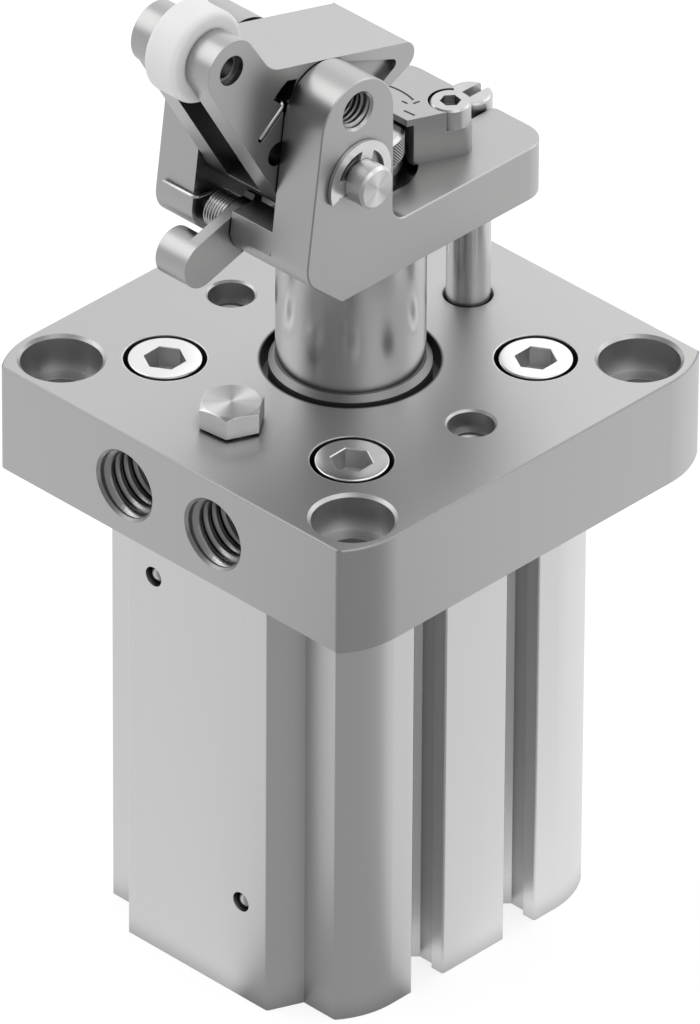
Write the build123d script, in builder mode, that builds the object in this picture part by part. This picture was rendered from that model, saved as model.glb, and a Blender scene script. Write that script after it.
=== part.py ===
from build123d import *
from math import acos, asin, atan2, cos, degrees, hypot, radians, sin, sqrt, tan
import os

# Pneumatic stopper cylinder with a toggle lever, millimetres.
# Origin: centre of the flange's mounting face. +Z runs up along the piston rod,
# +X points at the guide pin, and the lever turns about +Y.

# Clearances, and the room that cuts take
overrun = 5.0           # how far a cut runs past the piece that it cuts
near = 0.01             # how close an edge lies to the size that picks it
thread_gap = 0.05       # screw shank to its threaded hole, on the radius
press_gap = 0.02        # pressed pins and bushes, on the radius
running_gap = 0.05      # shafts that turn or slide, on the radius
seal_gap = 0.03         # seals to the walls that they run on

# Flange
flange_side = 68.0
flange_height = 16.0
corner_radius = 13.0    # outline arcs of flange and barrel
corner_reach = 5.0      # how far the arcs' rectangle passes each X side
flange_edge = 1.0       # rounding of the two vertical edges on the port side
edge_break = 0.2
mount_edge = 7.0        # corner holes' centres from the flange's sides
mount_hole_diameter = 6.6
mount_seat_diameter = 11.0
mount_seat_depth = 5.4
mount_seat_break = 0.45

# Screws from the flange into the barrel
screw_circle_radius = 24.5
screw_diameter = 6.0
screw_head_diameter = 10.0
screw_head_height = 6.0
screw_hex = 5.0
screw_hex_depth = 3.0
screw_length = 25.0
screw_seat_diameter = 11.2
screw_seat_depth = 6.1
screw_turn = 1.4         # of each hex socket
screw_head_edge = 0.4
screw_hole_diameter = 6.6

# Four threaded holes round the rod, for the guide pin and the stop bolt
turn_circle_radius = 22.25
turn_thread_diameter = 5.0
turn_relief_diameter = 6.3
turn_relief_depth = 3.0
turn_mouth_diameter = 6.9
turn_hole_depth = 12.0

# Air ports and channels
port_diameter = 9.73
port_mouth_diameter = 10.5
port_floor_past = 0.1   # port's floor past the middle of the channel
port_spread = 8.2       # each port's distance from the middle of the face
port_height = 7.8       # port axis above the mounting face
channel_diameter = 3.0
channel_wall = 2.0      # from the channel pad's face to the channel
ball_hole_diameter = 2.9
ball_diameter = 2.84
ball_depth = 1.7        # ball centre below the pad's face
channel_run_out = 0.7   # channel end below its cross hole
cross_hole_reach = 1.3  # cross hole past the channel
upper_channel_drop = 9.1
lower_channel_rise = 15.3   # lower cross hole above the barrel's end

# Barrel
barrel_side = 47.4
bore_diameter = 32.0
barrel_edge = 0.5
pad_width = 26.2
pad_root_width = 30.4
pad_height = 4.9        # pad face beyond the barrel's side
slot_spread = 8.8
slot_mouth = 5.9
slot_inner = 7.4
slot_lip = 2.1
slot_lip_taper = 0.7
slot_depth = 5.8
slot_corner = 0.8
slot_edge = 0.3

# End closure of the barrel
end_cap_height = 10.4
end_inset = 1.0         # retaining ring above the barrel's end
end_rim = 1.5           # end cap's rim outside its recess, past the ring
end_recess = 2.0
ring_thickness = 1.2
ring_groove = 0.8
ring_width = 2.6
ring_gap_width = 7.0
ring_ear_radius = 1.6
ring_ear_hole = 0.7
ring_ear_drop = 0.4
oring_section = 1.7
oring_squeeze = 0.05
oring_groove = 2.4      # groove width

# Rod, its bush and wiper
rod_diameter = 20.0
rod_bore_diameter = 12.1
rod_floor = 6.0
bush_diameter = 24.0
bush_ledge = 0.8
spigot_length = 7.0
wiper_height = 6.1      # wiper's foot below the flange's top
wiper_lip_width = 0.9
wiper_lip_height = 3.3
wiper_lip_rise = 0.8    # lip's cone above the flange's top
wiper_lip_tip = 0.15
bush_gap = 0.2          # bush to wiper
bumper_height = 3.0
lower_bumper_height = 5.1
bumper_width = 4.0
bumper_gap = 0.5        # piston to bumper at either end of the stroke
bumper_clear = 1.0      # bumper to rod

# Piston
stroke = 20.0
piston_height = 20.0
piston_neck_diameter = 16.0
piston_side_gap = 0.3
groove_depth = 2.4
seal_height = 2.2
band_height = 3.0
magnet_height = 4.0
magnet_depth = 3.2
magnet_inset = 0.2
seal_inset = 2.0        # seal grooves from the piston's ends
magnet_inset_z = 6.6    # magnet's groove below the piston's top
band_inset = 6.2        # guide band's groove above the piston's bottom

# Head
head_half_width = 14.05
ear_gap_half = 7.2
head_bottom = 38.4
platform_height = 8.0
platform_end = 23.35
platform_corner = 4.2
fork_half = 3.3
fork_inner = 19.0       # centre of the fork's round end
fork_corner = 1.0
neck_diameter = 17.4
neck_hole_diameter = 17.5
neck_inset = 0.9
head_edge = 0.15
pivot_x = -13.25
pivot_z = 56.4
pivot_diameter = 6.0
pivot_end = 17.7
pivot_chamfer = 0.35
ear_top_z = 64.42
ear_top_radius = 6.67
ear_lean = 7.6
toe_x = -16.0
toe_slope = 40.9
toe_radius = 4.2
ear_root_radius = 2.5
ear_hole_z = 66.6
ear_hole_mouth = 5.7
front_wall_edge = 0.1
front_wall_top = 48.85
front_wall_thickness = 4.4
finger_gap_back = -12.6
wall_root = 1.0         # front wall sunk into the platform

# Lever
lever_half_width = 7.05
hub_radius = 7.9
hub_back_radius = 7.0
boss_x = -29.45
boss_z = 76.85
boss_radius = 4.3
arm_thickness = 4.0
arm_angle = 57.0        # upper edge of the boss arm below horizontal
arm_root_radius = 4.5
top_start_x = -20.5
top_start_z = 73.2
top_slope = 14.9
nose_x = 2.3
nose_radius = 2.05
underside_slope = 24.9
lever_swing = 28.0
web_thickness = 3.2
far_cheek_step = 0.55   # far side of the plate inside its bosses
hub_catch_start = 210.0
hub_catch_end = 262.0   # end of the hub's raised sector, which the pawl catches
pocket_wall = 1.4       # hub side wall of the roller pocket
pocket_depth = 1.0
pocket_corner = 0.8
pocket_corners = ((-10.6, 69.9), (1.9, 64.85), (-5.2, 60.6))

# Roller
roller_radius = 6.5
roller_clearance = 0.9
roller_half_width = 2.75
roller_edge = 0.85
axle_diameter = 4.2
axle_wall = 0.5
axle_half_length = 5.8

# Shock absorber and its adjusting ring
absorber_diameter = 12.0
absorber_bottom = -14.0
collar_diameter = 13.4
collar_height = 1.4
ring_bottom = 48.35
ring_height = 3.95
ring_outer_diameter = 13.9
ring_bevel = 0.45
ring_foot_break = 0.3
ring_lip = 0.9
ring_eye_radius = 3.0
stub_gap = 0.1          # absorber's stub below the ring's lip
stub_diameter = 8.0
plunger_diameter = 3.0
button_radius = 2.0
button_skirt = 1.2
button_gap = 0.3
plunger_tail = 40.0
plunger_spare = 1.0     # room under the pressed plunger

# Clamp block beside the ring
block_top = 53.6
block_lip_thickness = 1.0
block_lip_x = 4.5
block_side_x = 5.4
block_far_x = 14.55
block_front_y = -6.07
block_front_slope = 23.5
block_back_y = 2.6
block_corner = 2.0
ring_clearance = 0.4
clamp_x = 12.1
clamp_y = -6.2
clamp_diameter = 3.0
clamp_head_diameter = 5.5
clamp_head_height = 3.0
clamp_seat_diameter = 6.0
clamp_length = 10.0
clamp_hex = 2.5
clamp_hex_depth = 1.3
clamp_turn = 20.0
clamp_head_edge = 0.25
clamp_play = 0.2        # screw in the block's hole, on the radius

# Guide pin and stop bolt
guide_diameter = 6.0
guide_top = 47.6
guide_slot = 1.6
guide_slot_depth = 1.3
guide_edge = 0.5
guide_thread_length = 9.0
bolt_hex = 8.0
bolt_head_height = 3.15
bolt_turn = 36.0
bolt_face_diameter = 7.8
bolt_edge_slope = 60.0  # of the head's upper edge, from its axis
bolt_washer_diameter = 7.2
bolt_washer_height = 0.35
bolt_length = 10.0

# Latch finger and its spring
latch_x = -18.8
latch_z = 45.4
latch_pin_diameter = 2.5
latch_pin_near = -5.0
latch_pin_far = 12.6
finger_near = 0.25
finger_thickness = 1.75
finger_end_x = -27.3
finger_end_z = 42.9
finger_end_width = 5.45
finger_radius = 3.35
pawl_angle = 64.0       # pawl above +X, seen from the near side
pawl_gap = 0.35         # pawl to the lever's hub
pawl_root_width = 2.8
pawl_tip_width = 1.5
coil_wire = 0.6
coil_radius = 2.4       # middle of the wire
coil_pitch = 0.62
coil_turns = 7
coil_start = 2.3
coil_valley = 0.22      # depth of the furrow between two turns
coil_leg_z = 48.3
coil_leg_end = 12.4
coil_leg_bend = 0.7
coil_leg_gap = 0.05     # leg to the ear's front face

# Clips on the pivot pin
clip_radius = 5.55
clip_thickness = 0.6
clip_band = 1.3
clip_neck_diameter = 4.6
clip_mouth_angle = 252.0
clip_mouth_half = 54.0
clip_prongs = (72.0, 180.0, 324.0)
clip_prong_width = 2.2
clip_play = 0.05        # clip in its groove

# Lever spring
lever_coil_wire = 0.9
lever_coil_radius = 4.4
lever_coil_turns = 2
lever_coil_valley = 0.3
spring_seat_radius = 5.5
spring_seat_depth = 2.6
leg_sink = 0.05         # visible leg below the lever's near face
leg_slot_width = 1.0
leg_window = ((-17.4, 70.3), (-19.2, 70.8), (-20.3, 70.2), (-21.8, 69.0), (-19.9, 67.3), (-18.4, 67.9))
leg_window_depth = 3.0
leg_riser = (-19.6, 67.3)
leg_tip = (-24.0, 64.0)
leg_bend = 0.7
relief_hole = (-21.0, 60.4)     # blind hole in the near face beside the spring
relief_radius = 1.7
relief_depth = 2.0

# Worked out once, from the sizes above
half_flange = flange_side / 2
half_barrel = barrel_side / 2
bore_radius = bore_diameter / 2
rod_radius = rod_diameter / 2
platform_top = head_bottom + platform_height
ring_top = ring_bottom + ring_height
screw_reach = screw_circle_radius * cos(radians(45))
screw_spots = [(sx * screw_reach, sy * screw_reach) for sx in (-1, 1) for sy in (-1, 1)]
pad_face = -half_barrel - pad_height
channel_x = pad_face + channel_wall + channel_diameter / 2
port_depth = half_flange + channel_x + port_floor_past
mount_pitch = flange_side - 2 * mount_edge
piston_top = -spigot_length - bumper_height - bumper_gap
piston_bottom = piston_top - piston_height
end_cap_top = piston_bottom - stroke - bumper_gap - lower_bumper_height
end_cap_bottom = end_cap_top - end_cap_height
barrel_bottom = end_cap_bottom - ring_thickness - end_inset
barrel_length = -barrel_bottom
lower_channel_drop = barrel_length - lower_channel_rise
pivot_radius = pivot_diameter / 2
finger_far = finger_near + finger_thickness
ear_far_x = pivot_x + ear_top_radius


def line_point(start, angle, distance):
    """The point that lies a distance from start, at an angle in degrees."""
    return (start[0] + distance * cos(radians(angle)), start[1] + distance * sin(radians(angle)))


def crossing(p, angle_p, q, angle_q):
    """Where the line through p meets the line through q, both given by an angle."""
    ap, aq = radians(angle_p), radians(angle_q)
    step = ((q[0] - p[0]) * sin(aq) - (q[1] - p[1]) * cos(aq)) / sin(aq - ap)
    return line_point(p, angle_p, step)


def square_outline(side):
    """A square whose corner arcs run on past the X sides."""
    with BuildSketch() as outline:
        RectangleRounded(side + 2 * corner_reach, side, corner_radius)
        Rectangle(side, side, mode=Mode.INTERSECT)
    return outline.sketch


def hex_width(across_flats):
    """The corner radius of a hexagon with this width across its flats."""
    return across_flats / 2 / cos(radians(30))


# Housing

with BuildPart() as flange_cap:
    with BuildSketch():
        add(square_outline(flange_side))
    extrude(amount=flange_height)
    fillet(flange_cap.edges().filter_by(Axis.Z).group_by(Axis.X)[0], flange_edge)
    chamfer(flange_cap.faces().sort_by(Axis.Z)[-1].edges(), edge_break)
    with BuildSketch(Plane.XY.offset(-spigot_length)):
        Circle(bore_radius - press_gap)
    extrude(amount=spigot_length)
    with BuildSketch(Plane.XY.offset(-spigot_length / 2 - oring_groove / 2)):
        Circle(bore_radius)
        Circle(bore_radius - oring_section - oring_squeeze, mode=Mode.SUBTRACT)
    extrude(amount=oring_groove, mode=Mode.SUBTRACT)
    with BuildSketch(Plane.XY.offset(flange_height)):
        Circle(bush_diameter / 2)
    extrude(amount=-(flange_height + spigot_length - bush_ledge), mode=Mode.SUBTRACT)
    with BuildSketch(Plane.XY.offset(-spigot_length)):
        Circle(bush_diameter / 2 - bush_ledge)
    extrude(amount=bush_ledge, mode=Mode.SUBTRACT)
    with Locations(Plane.XY.offset(flange_height)):
        with GridLocations(mount_pitch, mount_pitch, 2, 2):
            CounterBoreHole(mount_hole_diameter / 2, mount_seat_diameter / 2, mount_seat_depth)
        with Locations(*screw_spots):
            CounterBoreHole(screw_hole_diameter / 2, screw_seat_diameter / 2, screw_seat_depth)
        with PolarLocations(turn_circle_radius, 4):
            CounterBoreHole(
                turn_thread_diameter / 2,
                turn_relief_diameter / 2,
                turn_relief_depth,
                depth=turn_hole_depth,
            )
    with BuildSketch(Plane.YZ.offset(-half_flange)):
        with Locations((-port_spread, port_height), (port_spread, port_height)):
            Circle(port_diameter / 2)
    extrude(amount=port_depth, mode=Mode.SUBTRACT)
    with BuildSketch(Plane.XY):
        with Locations((channel_x, -port_spread), (channel_x, port_spread)):
            Circle(channel_diameter / 2)
    extrude(amount=port_height, mode=Mode.SUBTRACT)
    top_rims = flange_cap.faces().sort_by(Axis.Z)[-1].edges().filter_by(GeomType.CIRCLE)
    chamfer(top_rims.filter_by(lambda e: abs(e.radius - mount_seat_diameter / 2) < near), mount_seat_break)
    chamfer(
        top_rims.filter_by(lambda e: abs(e.radius - turn_relief_diameter / 2) < near),
        (turn_mouth_diameter - turn_relief_diameter) / 2,
    )
    chamfer(
        flange_cap.faces().sort_by(Axis.X)[0].edges().filter_by(
            lambda e: e.geom_type == GeomType.CIRCLE and abs(e.radius - port_diameter / 2) < near
        ),
        (port_mouth_diameter - port_diameter) / 2,
    )
flange_cap.part.label = "flange_cap"

with BuildPart() as barrel:
    with BuildSketch(Plane.XY.offset(barrel_bottom)):
        add(square_outline(barrel_side))
        with BuildLine():
            Polyline(
                (-half_barrel + barrel_edge, -pad_root_width / 2),
                (-half_barrel, -pad_root_width / 2),
                (pad_face, -pad_width / 2),
                (pad_face, pad_width / 2),
                (-half_barrel, pad_root_width / 2),
                (-half_barrel + barrel_edge, pad_root_width / 2),
                close=True,
            )
        make_face()
        Circle(bore_radius, mode=Mode.SUBTRACT)
        for side in (-1, 1):
            mouth_y = side * half_barrel
            for slot_x in (-slot_spread, slot_spread):
                with BuildLine():
                    Polyline(
                        (slot_x - slot_mouth / 2, mouth_y),
                        (slot_x - slot_mouth / 2, mouth_y - side * slot_lip),
                        (slot_x - slot_inner / 2, mouth_y - side * (slot_lip + slot_lip_taper)),
                        (slot_x - slot_inner / 2, mouth_y - side * (slot_depth - slot_corner)),
                        (slot_x - slot_inner / 2 + slot_corner, mouth_y - side * slot_depth),
                        (slot_x + slot_inner / 2 - slot_corner, mouth_y - side * slot_depth),
                        (slot_x + slot_inner / 2, mouth_y - side * (slot_depth - slot_corner)),
                        (slot_x + slot_inner / 2, mouth_y - side * (slot_lip + slot_lip_taper)),
                        (slot_x + slot_mouth / 2, mouth_y - side * slot_lip),
                        (slot_x + slot_mouth / 2, mouth_y),
                        close=True,
                    )
                make_face(mode=Mode.SUBTRACT)
    extrude(amount=barrel_length)
    sides = barrel.edges().filter_by(Axis.Z)
    fillet(sides.filter_by_position(Axis.X, pad_face - near, pad_face + near), barrel_edge)
    fillet(sides.filter_by(lambda e: abs(abs(e.center().X) - half_barrel) < near
                           and abs(e.center().Y) > pad_root_width / 2 + near), barrel_edge)
    mouths = sides.filter_by(lambda e: abs(abs(e.center().Y) - half_barrel) < near
                             and abs(abs(abs(e.center().X) - slot_spread) - slot_mouth / 2) < near)
    fillet(mouths, slot_edge)
    with Locations(*[(x, y, 0) for x, y in screw_spots]):
        Hole(screw_diameter / 2 + thread_gap, depth=screw_length - screw_seat_depth)
    with BuildSketch(Plane.XY):
        with Locations((channel_x, port_spread)):
            Circle(channel_diameter / 2)
    extrude(amount=-upper_channel_drop - ball_hole_diameter / 2 - channel_run_out, mode=Mode.SUBTRACT)
    with BuildSketch(Plane.XY):
        with Locations((channel_x, -port_spread)):
            Circle(channel_diameter / 2)
    extrude(amount=-lower_channel_drop - ball_hole_diameter / 2 - channel_run_out, mode=Mode.SUBTRACT)
    with BuildSketch(Plane.YZ.offset(pad_face)):
        with Locations((port_spread, -upper_channel_drop), (-port_spread, -lower_channel_drop)):
            Circle(ball_hole_diameter / 2)
    extrude(amount=channel_wall + channel_diameter + cross_hole_reach, mode=Mode.SUBTRACT)
    with BuildSketch(Plane.XY.offset(barrel_bottom + end_inset)):
        Circle(bore_radius + ring_groove)
    extrude(amount=ring_thickness, mode=Mode.SUBTRACT)
    mouth = barrel.faces().sort_by(Axis.Z)[0].edges().filter_by(GeomType.CIRCLE)
    chamfer(mouth.filter_by(lambda e: abs(e.radius - bore_radius) < near), edge_break)
barrel.part.label = "barrel"

with BuildPart() as end_cap:
    groove_z = end_cap_bottom + end_cap_height / 2
    with BuildSketch(Plane.XZ):
        with BuildLine():
            Polyline(
                (0, end_cap_bottom),
                (bore_radius - press_gap, end_cap_bottom),
                (bore_radius - press_gap, groove_z - oring_groove / 2),
                (bore_radius - oring_section - oring_squeeze, groove_z - oring_groove / 2),
                (bore_radius - oring_section - oring_squeeze, groove_z + oring_groove / 2),
                (bore_radius - press_gap, groove_z + oring_groove / 2),
                (bore_radius - press_gap, end_cap_top),
                (0, end_cap_top),
                close=True,
            )
        make_face()
    revolve(axis=Axis.Z)
    chamfer(end_cap.faces().sort_by(Axis.Z)[-1].edges(), edge_break)
    with BuildSketch(Plane.XY.offset(end_cap_bottom)):
        Circle(bore_radius - ring_width - end_rim)
    extrude(amount=end_recess, mode=Mode.SUBTRACT)
end_cap.part.label = "end_cap"

with BuildPart() as retaining_ring:
    with BuildSketch(Plane.XY.offset(barrel_bottom + end_inset)):
        Circle(bore_radius + ring_groove - running_gap)
        Circle(bore_radius - ring_width, mode=Mode.SUBTRACT)
        with Locations((0, -bore_radius)):
            Rectangle(ring_gap_width, 3 * ring_width, mode=Mode.SUBTRACT)
        for side in (-1, 1):
            ear_x = side * (ring_gap_width / 2 + ring_ear_radius)
            with Locations((ear_x, -bore_radius + ring_width + ring_ear_drop)):
                Circle(ring_ear_radius)
                Circle(ring_ear_hole, mode=Mode.SUBTRACT)
    extrude(amount=ring_thickness)
retaining_ring.part.label = "retaining_ring"


def oring(radius, height):
    """A sealing ring with its centre line at this radius and height, its section an octagon."""
    with BuildPart() as ring:
        with BuildSketch(Plane.XZ):
            with Locations((radius, height)):
                RegularPolygon(oring_section / 2, 8, major_radius=False, rotation=22.5)
        revolve(axis=Axis.Z)
    return ring.part


oring_line = bore_radius - seal_gap - oring_section / 2

with BuildPart() as flange_seal:
    add(oring(oring_line, -spigot_length / 2))
flange_seal.part.label = "flange_seal"

with BuildPart() as end_cap_seal:
    add(oring(oring_line, end_cap_bottom + end_cap_height / 2))
end_cap_seal.part.label = "end_cap_seal"

with BuildPart() as rod_bush:
    bush_top = flange_height - wiper_height - bush_gap
    bush_length = bush_top + spigot_length - bush_ledge
    with BuildSketch(Plane.XY.offset(-spigot_length + bush_ledge)):
        Circle(bush_diameter / 2 - press_gap)
        Circle(rod_radius + running_gap, mode=Mode.SUBTRACT)
    extrude(amount=bush_length)
rod_bush.part.label = "rod_bush"

with BuildPart() as rod_wiper:
    wiper_bottom = flange_height - wiper_height
    lip_bottom = flange_height - wiper_lip_height
    lip_top = flange_height + wiper_lip_rise
    with BuildSketch(Plane.XZ):
        with BuildLine():
            Polyline(
                (rod_radius + running_gap, wiper_bottom),
                (bush_diameter / 2 - press_gap, wiper_bottom),
                (bush_diameter / 2 - press_gap, lip_bottom),
                (rod_radius + wiper_lip_width, lip_bottom),
                (rod_radius + wiper_lip_width, flange_height),
                (rod_radius + running_gap + wiper_lip_tip, lip_top),
                (rod_radius + running_gap, lip_top),
                close=True,
            )
        make_face()
    revolve(axis=Axis.Z)
rod_wiper.part.label = "rod_wiper"

with BuildPart() as flange_screws:
    head_seat = flange_height - screw_seat_depth
    for spot in screw_spots:
        with BuildSketch(Plane.XY.offset(head_seat)):
            with Locations(spot):
                Circle(screw_head_diameter / 2)
        extrude(amount=screw_head_height)
        with BuildSketch(Plane.XY.offset(head_seat)):
            with Locations(spot):
                Circle(screw_diameter / 2)
        extrude(amount=-screw_length + edge_break)
        with BuildSketch(Plane.XY.offset(head_seat + screw_head_height)):
            with Locations(spot):
                RegularPolygon(hex_width(screw_hex), 6, rotation=screw_turn)
        extrude(amount=-screw_hex_depth, mode=Mode.SUBTRACT)
    head_tops = flange_screws.faces().filter_by(Plane.XY).group_by(Axis.Z)[-1].edges()
    chamfer(
        head_tops.filter_by(GeomType.CIRCLE).filter_by(
            lambda e: abs(e.radius - screw_head_diameter / 2) < near
        ),
        screw_head_edge,
    )
flange_screws.part.label = "flange_screws"

with BuildPart() as stop_bolt:
    bolt_under = flange_height + bolt_washer_height
    with BuildSketch(Plane.XY.offset(bolt_under)):
        with Locations((-turn_circle_radius, 0)):
            RegularPolygon(hex_width(bolt_hex), 6, rotation=bolt_turn)
    extrude(amount=bolt_head_height)
    with BuildSketch(Plane.XY.offset(bolt_under + bolt_head_height)):
        with Locations((-turn_circle_radius, 0)):
            Circle(bolt_face_diameter / 2)
    extrude(amount=-bolt_head_height, taper=-bolt_edge_slope, mode=Mode.INTERSECT)
    with BuildSketch(Plane.XY.offset(flange_height)):
        with Locations((-turn_circle_radius, 0)):
            Circle(bolt_washer_diameter / 2)
    extrude(amount=bolt_washer_height)
    with BuildSketch(Plane.XY.offset(flange_height)):
        with Locations((-turn_circle_radius, 0)):
            Circle(turn_thread_diameter / 2 - thread_gap)
    extrude(amount=-bolt_length)
stop_bolt.part.label = "stop_bolt"

with BuildPart() as guide_pin:
    guide_seat = flange_height - turn_relief_depth
    with BuildSketch(Plane.XY.offset(guide_seat)):
        with Locations((turn_circle_radius, 0)):
            Circle(guide_diameter / 2)
    extrude(amount=guide_top - guide_seat)
    fillet(guide_pin.edges().group_by(Axis.Z)[-1], guide_edge)
    with BuildSketch(Plane.XY.offset(guide_top)):
        with Locations((turn_circle_radius, 0)):
            Rectangle(2 * guide_diameter, guide_slot)
    extrude(amount=-guide_slot_depth, mode=Mode.SUBTRACT)
    with BuildSketch(Plane.XY.offset(guide_seat)):
        with Locations((turn_circle_radius, 0)):
            Circle(turn_thread_diameter / 2 - thread_gap)
    extrude(amount=-(guide_thread_length - thread_gap))
guide_pin.part.label = "guide_pin"

with BuildPart() as channel_balls:
    for side, drop in ((1, upper_channel_drop), (-1, lower_channel_drop)):
        with Locations((pad_face + ball_depth, side * port_spread, -drop)):
            Sphere(ball_diameter / 2)
channel_balls.part.label = "channel_balls"

with BuildPart() as upper_bumper:
    with BuildSketch(Plane.XY.offset(-spigot_length)):
        Circle(rod_radius + bumper_clear + bumper_width)
        Circle(rod_radius + bumper_clear, mode=Mode.SUBTRACT)
    extrude(amount=-bumper_height)
upper_bumper.part.label = "upper_bumper"

with BuildPart() as lower_bumper:
    with BuildSketch(Plane.XY.offset(end_cap_top)):
        Circle(rod_radius)
        Circle(rod_radius - bumper_width, mode=Mode.SUBTRACT)
    extrude(amount=lower_bumper_height)
lower_bumper.part.label = "lower_bumper"

# Piston and rod

seal_spots = (piston_top - seal_inset - seal_height, piston_bottom + seal_inset)
magnet_spot = piston_top - magnet_inset_z - magnet_height
band_spot = piston_bottom + band_inset

with BuildPart() as piston:
    with BuildSketch(Plane.XY.offset(piston_bottom)):
        Circle(bore_radius - piston_side_gap)
        Circle(piston_neck_diameter / 2 + press_gap, mode=Mode.SUBTRACT)
    extrude(amount=piston_height)
    grooves = (
        (seal_spots[0], seal_height, groove_depth),
        (seal_spots[1], seal_height, groove_depth),
        (magnet_spot, magnet_height, magnet_depth),
        (band_spot, band_height, groove_depth / 2),
    )
    for bottom, height, depth in grooves:
        with BuildSketch(Plane.XY.offset(bottom)):
            Circle(bore_radius + overrun)
            Circle(bore_radius - piston_side_gap - depth, mode=Mode.SUBTRACT)
        extrude(amount=height, mode=Mode.SUBTRACT)
piston.part.label = "piston"

with BuildPart() as piston_seals:
    for bottom in seal_spots:
        with BuildSketch(Plane.XY.offset(bottom + seal_gap)):
            Circle(bore_radius - seal_gap)
            Circle(bore_radius - piston_side_gap - groove_depth + seal_gap, mode=Mode.SUBTRACT)
        extrude(amount=seal_height - 2 * seal_gap)
piston_seals.part.label = "piston_seals"

with BuildPart() as guide_band:
    with BuildSketch(Plane.XY.offset(band_spot + seal_gap)):
        Circle(bore_radius - running_gap)
        Circle(bore_radius - piston_side_gap - groove_depth / 2 + seal_gap, mode=Mode.SUBTRACT)
    extrude(amount=band_height - 2 * seal_gap)
guide_band.part.label = "guide_band"

with BuildPart() as magnet_ring:
    with BuildSketch(Plane.XY.offset(magnet_spot + seal_gap)):
        Circle(bore_radius - piston_side_gap - magnet_inset)
        Circle(bore_radius - piston_side_gap - magnet_depth + seal_gap, mode=Mode.SUBTRACT)
    extrude(amount=magnet_height - 2 * seal_gap)
magnet_ring.part.label = "magnet_ring"

with BuildPart() as piston_rod:
    with BuildSketch(Plane.XZ):
        with BuildLine():
            Polyline(
                (0, piston_bottom),
                (piston_neck_diameter / 2, piston_bottom),
                (piston_neck_diameter / 2, piston_top),
                (rod_radius, piston_top),
                (rod_radius, head_bottom),
                (neck_diameter / 2, head_bottom),
                (neck_diameter / 2, platform_top - neck_inset),
                (rod_bore_diameter / 2, platform_top - neck_inset),
                (rod_bore_diameter / 2, piston_bottom + rod_floor),
                (0, piston_bottom + rod_floor),
                close=True,
            )
        make_face()
    revolve(axis=Axis.Z)
piston_rod.part.label = "piston_rod"

# Head: two leaning ears on a platform with a fork at its end

face_top = line_point((pivot_x, ear_top_z), 180 - ear_lean, ear_top_radius)
face_foot = crossing(face_top, 90 - ear_lean, (toe_x, head_bottom), 180 - toe_slope)

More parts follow.
